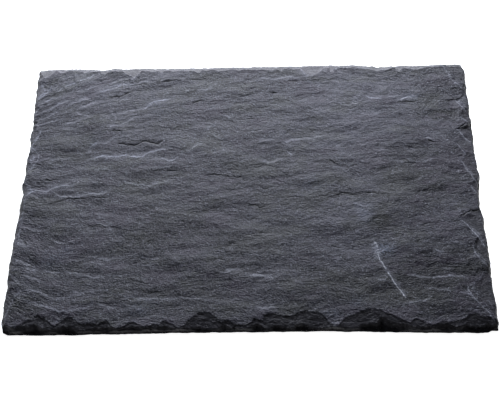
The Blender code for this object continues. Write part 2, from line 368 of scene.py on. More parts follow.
# How far two broken layers reach in from the front edge, as (place along the edge, reach)
SHELVES: tuple[tuple[Point, ...], ...] = (
    (
        (-150, 4), (-147, 4.5), (-144, 4), (-141.5, 2.8), (-140, 2.2), (-138, 3.5),
        (-136, 4.8), (-133, 7), (-130, 8.6), (-127.5, 10.6), (-125.5, 9.6), (-123.5, 9),
        (-122, 7.6), (-120, 5.6), (-118, 4), (-116.5, 3), (-115.5, 3.6), (-113, 6),
        (-110.5, 8.2), (-109, 8.8), (-105.5, 8.3), (-103.5, 7), (-101, 5), (-98, 4.5),
        (-95, 5), (-92, 4.6), (-90, 3.5), (-89, 4.8), (-86.5, 6.6), (-85, 7.1), (-83.5, 5.6),
        (-82, 3.6), (-79, 2.7), (-75, 3), (-73, 4.5), (-71, 6), (-68, 5.5), (-66, 4.5),
        (-62, 3), (-57, 4), (-55, 3.5), (-53, 4), (-51, 6.5), (-49, 6.5), (-46.5, 5.5),
        (-44, 4), (-42, 3), (-39, 3), (-38, 4), (-36.5, 6), (-34, 8.5), (-31, 10),
        (-29, 11.6), (-26, 12.1), (-23, 11.5), (-20.5, 9.6), (-18, 8), (-16.5, 6.6), (-15, 6),
        (-13.5, 7.5), (-11, 6.6), (-9, 5.5), (-6, 4), (-4, 3.5), (-2, 4.4), (0, 5), (3, 5.5),
        (4, 7.5), (6, 8), (9, 7.6), (10, 9), (12, 10.5), (15, 10.5), (20, 9.7), (28, 9.5),
        (30, 11), (33, 12), (35.5, 13.5), (38, 12), (42, 11.5), (45, 10.4), (47, 8.5),
        (48.5, 6), (51, 3.5), (54, 2.6), (56, 4), (57, 6), (59, 8), (62, 9), (65, 10.4),
        (68, 11.6), (72, 12.6), (76, 13.5), (80, 13.7), (81, 12), (84, 10.6), (88, 9),
        (90, 7), (93, 6), (97, 5), (99, 7), (101, 7.5), (104, 5.5), (107, 3.5), (110, 3),
        (113, 4), (116, 5), (118, 6), (120, 4.6), (123, 5.5), (127, 5.5), (130, 7), (132, 9),
        (136, 10), (140, 9), (144, 7.5), (150, 6),
    ),
    (
        (-150, 3), (-145, 4), (-141, 1.6), (-139, 1.6), (-135, 3.6), (-129, 4.6), (-125, 3),
        (-121, 2), (-115, 1.8), (-111, 3.1), (-108, 3.6), (-104, 3), (-102, 1.6), (-95, 2.4),
        (-88, 2), (-84, 3), (-80, 1.5), (-70, 2.6), (-62, 1.6), (-50, 2.8), (-42, 1.4),
        (-33, 2.6), (-23, 2.4), (-18, 1.7), (-14, 3.6), (-11, 2.6), (-5, 1.6), (2, 2.6),
        (4, 4), (6, 4.6), (9, 3.4), (12, 2.2), (16, 3.8), (20, 4.2), (24, 1.7), (28, 3),
        (33, 4.6), (36, 3.6), (38, 1.6), (44, 2.6), (50, 1.6), (58, 2), (64, 1.5), (66, 2.6),
        (68, 4.1), (76, 4), (78, 5.4), (80, 8.6), (82, 8), (86, 5.6), (92, 3.8),
        (99, 2.2), (104, 2.4), (110, 1.4), (114, 3), (118, 3.8), (124, 2.4), (130, 3.6),
        (136, 2.6), (141, 4), (146, 3.6), (150, 2),
    ),
)

CHIPS: dict[Edge, tuple[Chip, ...]] = {
    Edge.BACK: (
        Chip(-144, 8, 9, 10.6, 1.6), Chip(-133, 8, 9, 7.0, 1.5), Chip(-117, 4, 7.5, 6.8, 1.4),
        Chip(-102.5, 7, 6.5, 7.6, 1.4, 1.5), Chip(-81.5, 14, 9, 11.6, 1.6, 1.2),
        Chip(-70, 5, 6, 6.8, 1.6), Chip(-62.5, 4, 6, 7.6, 1.4, 1.4), Chip(-52, 7, 8, 6.2, 1.4),
        Chip(-37, 6, 9, 7.6, 1.6), Chip(-20, 6, 5, 7.0, 1.4), Chip(-9, 4, 4, 6.0, 1.4),
        Chip(5, 6, 8, 6.4, 1.6), Chip(22.5, 12, 3, 8.0, 1.4, 1.1), Chip(29, 5, 5, 6.4, 1.6),
        Chip(42, 8.5, 14, 12.0, 1.8, 1.9), Chip(57, 3, 8, 9.0, 1.4, 1.2), Chip(68, 8, 8, 6.0, 1.6),
        Chip(88, 11, 13, 7.4, 1.4), Chip(104.5, 5.5, 5, 8.4, 1.6, 1.4),
        Chip(117, 9, 8, 7.2, 1.6), Chip(128, 4, 4, 6.2, 1.8),
    ),
    Edge.LEFT: (
        Chip(-80, 14, 13, 8.6, 4.7, 1.0), Chip(-66, 5, 6, 4.6, 4.2), Chip(-56, 6, 7, 4.0, 4.2),
        Chip(-45, 6, 8, 3.6, 4.4), Chip(-32, 8, 9, 4.6, 4.2), Chip(-18, 8, 9, 4.0, 4.2),
        Chip(-1, 9, 8, 9.0, 4.8, 1.1), Chip(16, 5, 6, 7.0, 4.6), Chip(24, 12, 6, 7.4, 4.9, 1.1),
        Chip(44, 12, 6, 8.0, 4.4, 1.2), Chip(52, 3, 2.5, 5.0, 3.0), Chip(62, 5, 7, 4.2, 4.4),
        Chip(80, 10, 7, 11.0, 4.8, 1.3), Chip(91, 6, 6, 6.0, 3.8),
    ),
    Edge.RIGHT: (
        Chip(-82, 6, 5, 5.2, 4.6), Chip(-72, 24, 15, 15.0, 4.9, 1.0), Chip(-51, 8, 8, 7.0, 4.6),
        Chip(-43, 16, 9, 9.4, 4.4, 1.1), Chip(-24.5, 24, 6.5, 16.0, 4.6, 1.0),
        Chip(-21, 6, 4, 11.0, 4.1, 1.0), Chip(-2, 9, 8, 6.8, 4.8),
        Chip(17.5, 19, 11, 11.4, 4.6, 1.0), Chip(31, 11, 12, 13.0, 4.6, 1.1),
        Chip(42.5, 12, 3, 11.6, 4.4, 1.1), Chip(42.5, 5, 4, 9.5, 4.1, 1.0),
        Chip(52, 6, 10, 8.4, 4.6), Chip(67, 11, 9, 9.8, 4.6, 1.1),
        Chip(97, 22, 9, 14.6, 4.7, 1.0),
    ),
}

LEDGES: tuple[Ledge, ...] = (
    # upper left
    Ledge(((-148, 57.5), (-140, 61.5), (-131, 66)), 0.4, 0.8, 5),
    Ledge(((-147, 52.5), (-138, 57), (-130, 60.5)), 0.35, 0.8, 5),
    Ledge(((-146, 66.5), (-140, 70), (-133, 73.5)), 0.4, 0.8, 5),
    Ledge(((-146, 71), (-139, 75), (-134, 76.5)), -0.35, 0.8, 5),
    Ledge(((-126, 66), (-118, 69.5), (-110, 72)), 0.4, 0.8, 5),
    Ledge(((-123, 76), (-113, 79.5), (-104, 83)), 0.4, 0.8, 6),
    Ledge(((-100, 84), (-90, 88), (-84, 89)), 0.35, 0.8, 5),
    Ledge(((-99, 66), (-89, 69.5), (-80, 71)), 0.35, 0.8, 5),
    Ledge(((-128, 58), (-121, 60.5), (-114, 62)), -0.35, 0.8, 5),
    Ledge(((-133, 88), (-126, 91), (-120, 92)), 0.3, 0.8, 5),
    Ledge(((-128, 50), (-119, 52), (-112, 55)), 0.35, 0.8, 5),
    Ledge(((-108, 86), (-100, 88.5), (-94, 91)), -0.35, 0.8, 5),
    Ledge(((-148.5, 86.5), (-144, 85.5), (-139, 86)), -0.35, 1.0, 8),
    Ledge(((-131, 82), (-126, 83), (-121.5, 84.5)), 0.5),
    Ledge(((-121, 86.5), (-113, 89.5), (-108, 93)), 0.5),
    Ledge(((-135, 76.5), (-132, 79.5), (-130.5, 82)), 0.35, 0.8, 5),
    Ledge(((-130.5, 82), (-129, 79.5), (-127.5, 76.5)), -0.3, 0.8, 5),
    Ledge(((-144, 84.5), (-138, 83.5)), -0.35, 0.8, 5),
    Ledge(((-148, 70), (-143, 75), (-141, 76.5), (-138.5, 80)), 0.6, 0.9, 8),
    Ledge(((-108, 75.5), (-100, 78.5), (-95, 80), (-89, 83), (-80, 84)), 0.6, 0.9, 12),
    Ledge(((-80, 84), (-75, 85.5), (-68, 85)), 0.3, 0.9, 6),
    Ledge(((-98, 72), (-90, 73), (-83, 76)), -0.6, 0.6),
    Ledge(((-111, 86), (-107, 87), (-103, 87.5)), -0.35, 0.6, 5),
    Ledge(((-140, 62.5), (-133, 66), (-127.5, 69), (-125, 71.5)), 0.5),
    Ledge(((-148, 64), (-142, 66.5)), 0.3, 0.8, 5),
    Ledge(((-147, 48), (-138, 52), (-130, 54.5)), 0.35, 0.8, 6),
    Ledge(((-138, 71), (-131, 74), (-126, 77)), 0.25, 0.8, 5),
    Ledge(((-124, 70), (-117, 71.5), (-108, 72.5)), 0.25, 0.8, 5),
    Ledge(((-121, 60.5), (-115, 58), (-110, 56)), 0.3, 0.8, 5),
    Ledge(((-92, 58.5), (-84, 60), (-77, 61), (-72, 64)), 0.35, 0.8, 6),
    Ledge(((-85, 55), (-78, 56), (-72, 58.5)), -0.35, 0.7, 5),
    Ledge(((-128, 45), (-120, 46), (-112, 49)), 0.25, 0.8, 5),
    Ledge(((-138, 87.8), (-130, 86)), -0.3, 0.9, 5),
    Ledge(((-146, 57.5), (-137, 61), (-132, 63)), -0.3, 0.7, 5),
    Ledge(((-119, 62.5), (-109, 67.5), (-103, 69.5)), 0.4),
    Ledge(((-119, 74.5), (-113, 72.5)), 0.3, 0.7, 4),
    Ledge(((-118, 52), (-112, 54.5), (-105, 57.5)), 0.4),
    Ledge(((-94, 58.5), (-88, 59), (-83, 59.5)), 0.25, 0.7, 5),
    Ledge(((-95, 60.5), (-91.5, 54.5), (-94, 51)), 0.3, 0.7, 5),
    Ledge(((-97, 44), (-91, 43.5), (-85, 44)), -0.6, 0.6),
    Ledge(((-99, 46.5), (-88, 49), (-81, 53.5), (-74, 56)), 0.4),
    Ledge(((-88, 64.5), (-84, 66), (-75, 67.5)), -0.35, 0.7, 6),
    Ledge(((-73, 61), (-70, 65.5), (-62, 69.5), (-52, 70.5)), 0.5),
    Ledge(((-61, 84), (-52, 86.5), (-47, 86.5)), -0.6, 0.7),
    Ledge(((-50, 90), (-44, 91)), -0.3, 0.7, 5),
    Ledge(((-41, 87), (-35, 86.5), (-29, 88.5)), -0.4, 0.7, 6),
    Ledge(((-38, 76), (-30, 78), (-25, 82)), 0.3, 0.7, 5),
    Ledge(((-45, 78.5), (-41, 77)), 0.35, 0.8, 3),
    Ledge(((-47, 65), (-40, 66), (-33, 68.5), (-28, 68)), -0.6, 0.7),
    Ledge(((-15, 70), (-5, 71.5), (4, 73)), -0.4),
    Ledge(((-18, 57), (-15, 56), (-12.5, 52.5)), 0.3, 0.7, 4),
    Ledge(((-46, 51), (-38, 53), (-32, 52.5)), 0.25, 0.7, 5),
    # upper right
    Ledge(((3, 86), (15, 85.5), (27, 87), (36, 87)), 0.25, 0.8, 6),
    Ledge(((26, 82.5), (35, 84), (55, 85), (80, 84)), -0.4), Ledge(((9, 72), (20, 74)), -0.5, 0.7),
    Ledge(((32, 71), (41, 72)), -0.3, 0.7, 5),
    Ledge(((38, 59), (45, 57.5), (60, 59)), 0.2, 0.8, 6),
    Ledge(((60, 64), (68, 62.5), (76, 64)), 0.3, 0.8, 6),
    Ledge(((79, 69), (85, 68), (92, 67.5)), 0.6, 0.7),
    Ledge(((92, 69), (99, 69.5), (105, 70)), 0.3, 0.7, 5),
    Ledge(((99, 64.5), (105, 67.5), (110, 70), (114, 71)), 0.4, 0.8, 5),
    Ledge(((100, 64.5), (108, 65), (116, 66)), -0.7, 0.7, 7),
    Ledge(((134, 64.5), (142, 67), (149, 71)), -0.8, 0.8, 7),
    Ledge(((124, 66), (134, 66)), 0.25, 0.7, 5),
    Ledge(((117, 52), (122, 56), (132, 59), (146, 57.5)), -0.5, 1.4, 16),
    Ledge(((83, 62), (84, 58), (87, 54.5)), 0.25, 0.8, 5),
    Ledge(((118, 35.5), (121, 34.5), (124, 33.5)), 0.35, 0.7, 3),
    Ledge(((118, 33.5), (121, 32.5), (125, 32)), -0.6, 0.6, 5),
    Ledge(((117, 40), (121, 41.5)), 0.25, 0.7, 4),
    Ledge(((101, 39.5), (108, 38.5)), -0.35, 0.6, 5),
    Ledge(((90, 29), (100, 29), (116, 28)), -0.3, 0.6, 6),
    Ledge(((84, 25), (88, 26.5), (94, 26)), 0.25, 0.8, 6),
    Ledge(((92, 18), (105, 18.5), (112, 17), (126, 19)), 0.35),
    Ledge(((103, 16), (120, 16)), -0.25, 0.7, 6),
    Ledge(((92, 10), (97, 9), (101, 11)), 0.25, 0.7, 5),
    Ledge(((131, 10), (138, 9.5)), 0.3, 0.7, 4),
    Ledge(((125, 8), (133, 7), (146, 8)), -0.35, 0.7, 7),
    Ledge(((107, 1.5), (112, 4.5), (117, 6)), 0.25, 0.8, 5),
    Ledge(((74, -5.5), (80, -6.8), (92, -7)), -0.6, 0.6),
    # left middle
    Ledge(((-108, 27), (-105, 32), (-102, 36)), 0.5, 0.9, 5),
    Ledge(((-107, 28), (-103.5, 33)), -0.4, 0.6, 3),
    Ledge(((-101, 33), (-92, 38), (-82, 40.5), (-74, 42)), 0.3, 0.8, 6),
    Ledge(((-134, 22), (-124, 23), (-116, 22)), 0.25, 0.8, 5),
    Ledge(((-135, 19.5), (-130, 17.5), (-121, 18)), 0.3, 0.7, 5),
    Ledge(((-144, 19), (-137, 19)), -0.35, 0.7, 5),
    Ledge(((-103, 13), (-98, 14), (-90, 13)), 0.25, 0.8, 5),
    Ledge(((-136, 6), (-130, 5.5), (-124, 6)), -0.5, 0.6, 5),
    Ledge(((-141, 1), (-137, 1), (-131, 1)), -0.45, 0.7, 4),
    Ledge(((-111, 20.5), (-100, 23.5), (-88, 24), (-72, 23.5), (-62, 28.5), (-49, 30.5)), 0.6),
    Ledge(((-60, 23.5), (-54, 20), (-50, 20), (-46, 22.5)), 0.5),
    Ledge(((-69, 20), (-60, 21), (-55, 22)), 0.25, 0.7, 4),
    Ledge(((-44, 29.5), (-40, 27.5), (-34, 32), (-30, 32.5)), 0.35, 0.8, 5),
    Ledge(((-148, -8), (-140, -2), (-133, -3), (-124, 1), (-110, 2.5)), 0.6),
    Ledge(((-130, -5), (-122, -7), (-109, -7), (-101, -5), (-90, -4)), 0.45, 0.8, 6),
    Ledge(((-132, -12.5), (-125, -11), (-117, -8.3), (-98, -7.5), (-88, -7.5)), -0.7, 0.7),
    Ledge(((-83, 4.5), (-75, 2), (-66, 1.2), (-52, 4)), 0.3, 0.8, 6),
    Ledge(((-104, -28.5), (-93, -30), (-80, -28)), -0.55, 0.7),
    Ledge(((-98, -27), (-91, -28), (-87, -32)), 0.3, 0.7, 4),
    Ledge(((-98, -18.5), (-92, -21.5), (-85, -18.5)), 0.25, 0.8, 5),
    Ledge(((-115, -21), (-107, -23), (-98, -20.5)), -0.25, 0.7, 5),
    Ledge(((-125, -39.5), (-118, -40), (-106, -39)), 0.3, 0.7, 5),
    Ledge(((-148, -39), (-142, -42.5), (-137, -43)), 0.18, 0.7, 5),
    # centre
    Ledge(((5, 34.5), (12, 35.2), (20, 35)), 0.25, 0.8, 5),
    Ledge(((0, 32.5), (8, 33), (16, 32.5), (23, 32.8)), -0.3, 0.8, 5),
    Ledge(((-25, 24.5), (-21, 26.5), (-14, 26.8)), 0.3, 0.8, 5),
    Ledge(((5, 17.8), (12, 18.3), (17, 18), (20, 20), (24, 20)), 0.35, 0.8, 5),
    Ledge(((-2, 14.5), (6, 16), (13, 16), (19, 15)), -0.35, 0.8, 5),
    Ledge(((16, 13.8), (26, 14.3)), -0.3, 0.8, 4),
    Ledge(((-67, 14), (-58, 14.5), (-50, 16)), 0.25, 0.7, 4),
    Ledge(((-67, 12), (-54, 12.5), (-45, 12)), -0.55, 0.8),
    Ledge(((-30, 8), (-17, 9), (-8, 6), (0, 7.5)), -0.5, 0.7),
    Ledge(((-27, 27), (-17, 28)), -0.3, 0.7, 5), Ledge(((-13, 13), (-6, 14)), -0.25, 0.7, 5),
    Ledge(((22, 34), (35, 36), (52, 38)), 0.4),
    Ledge(((5, 33), (15, 33.5), (26, 33)), -0.25, 0.7, 6),
    Ledge(((35, 27.5), (50, 27), (62, 26)), -0.45), Ledge(((57, 30), (62, 30)), 0.35, 0.8, 3),
    Ledge(((25, 26), (30, 23.5)), 0.3, 0.7, 3),
    Ledge(((9, 23), (15, 24), (19, 23)), -0.25, 0.7, 5),
    Ledge(((4, 16.5), (15, 17), (27, 17)), -0.25, 0.7, 5),
    Ledge(((38, 16.5), (50, 19.5), (55, 18), (60, 14)), -0.5, 0.7),
    Ledge(((54, 14), (60, 12.5), (66, 12)), 0.3, 0.8, 4),
    Ledge(((66, 14.5), (75, 16), (82, 15)), -0.25, 0.7, 5),
    Ledge(((64, 11), (70, 7), (74, 4)), -0.3, 0.8, 5),
    Ledge(((7, 6.5), (16, 7), (25, 6.5)), -0.25, 0.7, 5),
    Ledge(((-3, -13), (5, -15.5), (13, -15.5)), -0.55, 0.7),
    Ledge(((-21, -10), (-12, -10.5), (-3, -11)), -0.3, 0.7, 5),
    Ledge(((-70, -17.5), (-60, -19.5), (-54, -20)), -0.35, 0.7, 5),
    Ledge(((15, -9), (26, -8.5), (37, -8.5)), -0.25, 0.7, 5),
    Ledge(((37, -6.5), (45, -7.5), (54, -9)), -0.3, 0.7, 5),
    Ledge(((52, -9.5), (57, -7), (63, -6), (70, -9)), -0.55, 0.7),
    Ledge(((66, -14), (70, -15), (74, -16.5)), 0.3, 0.8, 4),
    # lower half
    Ledge(((-147, -50), (-140, -54.5), (-134, -57)), 0.35, 0.8, 5),
    Ledge(((-145, -47), (-139, -49), (-133, -54), (-128, -55)), -0.3, 0.8, 5),
    Ledge(((-141, -62), (-133, -65), (-126, -70)), 0.35, 0.8, 5),
    Ledge(((-146, -66), (-140, -67), (-133, -71)), 0.15, 0.8, 5),
    Ledge(((-128, -58), (-121, -61), (-116, -61)), 0.3, 0.8, 5),
    Ledge(((-146, -28), (-138, -31), (-130, -32)), 0.3, 0.8, 5),
    Ledge(((-143, -20), (-134, -22), (-127, -24.5)), -0.3, 0.8, 5),
    Ledge(((-75, -64), (-68, -67), (-59, -70)), -0.5),
    Ledge(((-74, -63), (-67, -65.5), (-62, -66.5)), 0.25, 0.7, 4),
    Ledge(((-147, -82), (-140, -73), (-131, -73.5), (-120, -78)), 0.2),
    Ledge(((-142, -77.5), (-129, -82.5), (-118, -86), (-110, -87.3), (-103, -86.3), (-92, -82)),
        0.22),
    Ledge(((-92, -82.5), (-86, -84), (-78, -84.5)), 0.3, 0.8, 5),
    Ledge(((-110, -74.5), (-98, -74.5), (-92, -73)), 0.25, 0.8, 5),
    Ledge(((-116, -60), (-103, -62), (-95, -65), (-89, -63)), 0.3, 0.8, 6),
    Ledge(((-140, -57), (-136, -59.5), (-131, -59)), 0.3, 0.7, 5),
    Ledge(((-99, -53), (-90, -56.5), (-85, -58)), 0.2, 0.8, 5),
    Ledge(((-80, -77), (-60, -79), (-45, -79), (-30, -78.5), (-8, -81)), 0.18),
    Ledge(((-104, -49), (-86, -52.5), (-75, -50)), 0.2),
    Ledge(((-61, -52), (-55, -52)), 0.3, 0.7, 4),
    Ledge(((-36, -50), (-27, -49), (-12, -51)), -0.2, 0.8, 6),
    Ledge(((-14, -64), (-11, -60), (-2, -60)), 0.25, 0.8, 5),
    Ledge(((0, -64), (10, -64), (18, -65.5)), 0.25, 0.8, 5),
    Ledge(((5, -84), (10, -85.5), (20, -85.5)), 0.25, 0.8, 5),
    Ledge(((50, -43), (59, -45.5), (70, -47)), -0.4), Ledge(((54, -53), (58, -53)), 0.3, 0.7, 3),
    Ledge(((30, -76), (42, -76), (49, -81)), -0.25, 0.8, 5),
    Ledge(((96, -63), (108, -66.5), (120, -65), (135, -65.5)), 0.35),
    Ledge(((96, -83), (104, -81), (113, -79)), 0.25, 0.8, 6),
    Ledge(((84, -57), (88, -64), (93, -73), (97, -80)), 0.35, 0.9, 5),
    Ledge(((78, -67.5), (85, -67.5)), 0.3, 0.7, 4),
    Ledge(((114, -46.5), (117, -48.5), (122, -48)), 0.3, 0.8, 4),
    Ledge(((101, -45), (104, -50)), 0.25, 0.8, 4),
    Ledge(((107, -73), (115, -73.5), (123, -73.5)), 0.2, 0.8, 5),
    Ledge(((128, -76.5), (134, -77), (138, -81)), 0.3, 0.8, 4),
    Ledge(((118, -60), (126, -60.5)), 0.25, 0.7, 4),
)

CRACKS: tuple[Crack, ...] = (
    Crack(((-90, 33.5), (-85, 33.3), (-80, 32.5), (-76, 32.5), (-70, 35), (-63, 33.5), (-56, 36)),
        0.8, 0.55),
    Crack(((-97, 72), (-94, 73), (-90, 72.8)), 0.5), Crack(((-88, 74), (-83, 76)), 0.5),
    Crack(((-95, 44.3), (-91, 43.5), (-86, 43.7)), 0.5), Crack(((-5, 82.3), (-2, 80)), 0.6, 0.8),
    Crack(((-40, 66), (-36, 67), (-32, 68.5)), 0.45), Crack(((-60, 84), (-53, 86.3)), 0.4),
    Crack(((0, 77), (6, 78.3)), 0.35), Crack(((15, 73), (20.5, 74)), 0.4),
    Crack(((26, 82.5), (34, 83.6)), 0.35), Crack(((-3, 53), (4, 52.5)), 0.35),
    Crack(((138.5, 42.3), (143, 44), (148, 46.5)), 0.6, 0.8),
    Crack(((134, -24), (140, -21.5), (148, -18)), 0.6, 0.8),
    Crack(((105, 65), (115, 65.8)), 0.5, 0.7), Crack(((118, 33.3), (124, 31.8)), 0.5),
    Crack(((-136, 5.8), (-126, 5.8)), 0.4), Crack(((-116, -8.2), (-110, -8.5)), 0.5, 0.6),
    Crack(((-103, -28.6), (-90, -29.8)), 0.4), Crack(((75, -5.6), (83, -7.4)), 0.5),
    Crack(((-8, 5.9), (-3, 6.4)), 0.4), Crack(((0, -13.8), (8, -16)), 0.45),
    Crack(((-25, 8.1), (-17, 9)), 0.3), Crack(((52, 19), (57, 16)), 0.4),
    Crack(((57, -7), (62, -6), (66, -8)), 0.4), Crack(((-44, 75.6), (-41, 75.5)), 0.5, 0.9),
    Crack(((-86, 85.5), (-83, 85)), 0.5, 0.9), Crack(((51, -43.6), (59, -45.4)), 0.3),
)

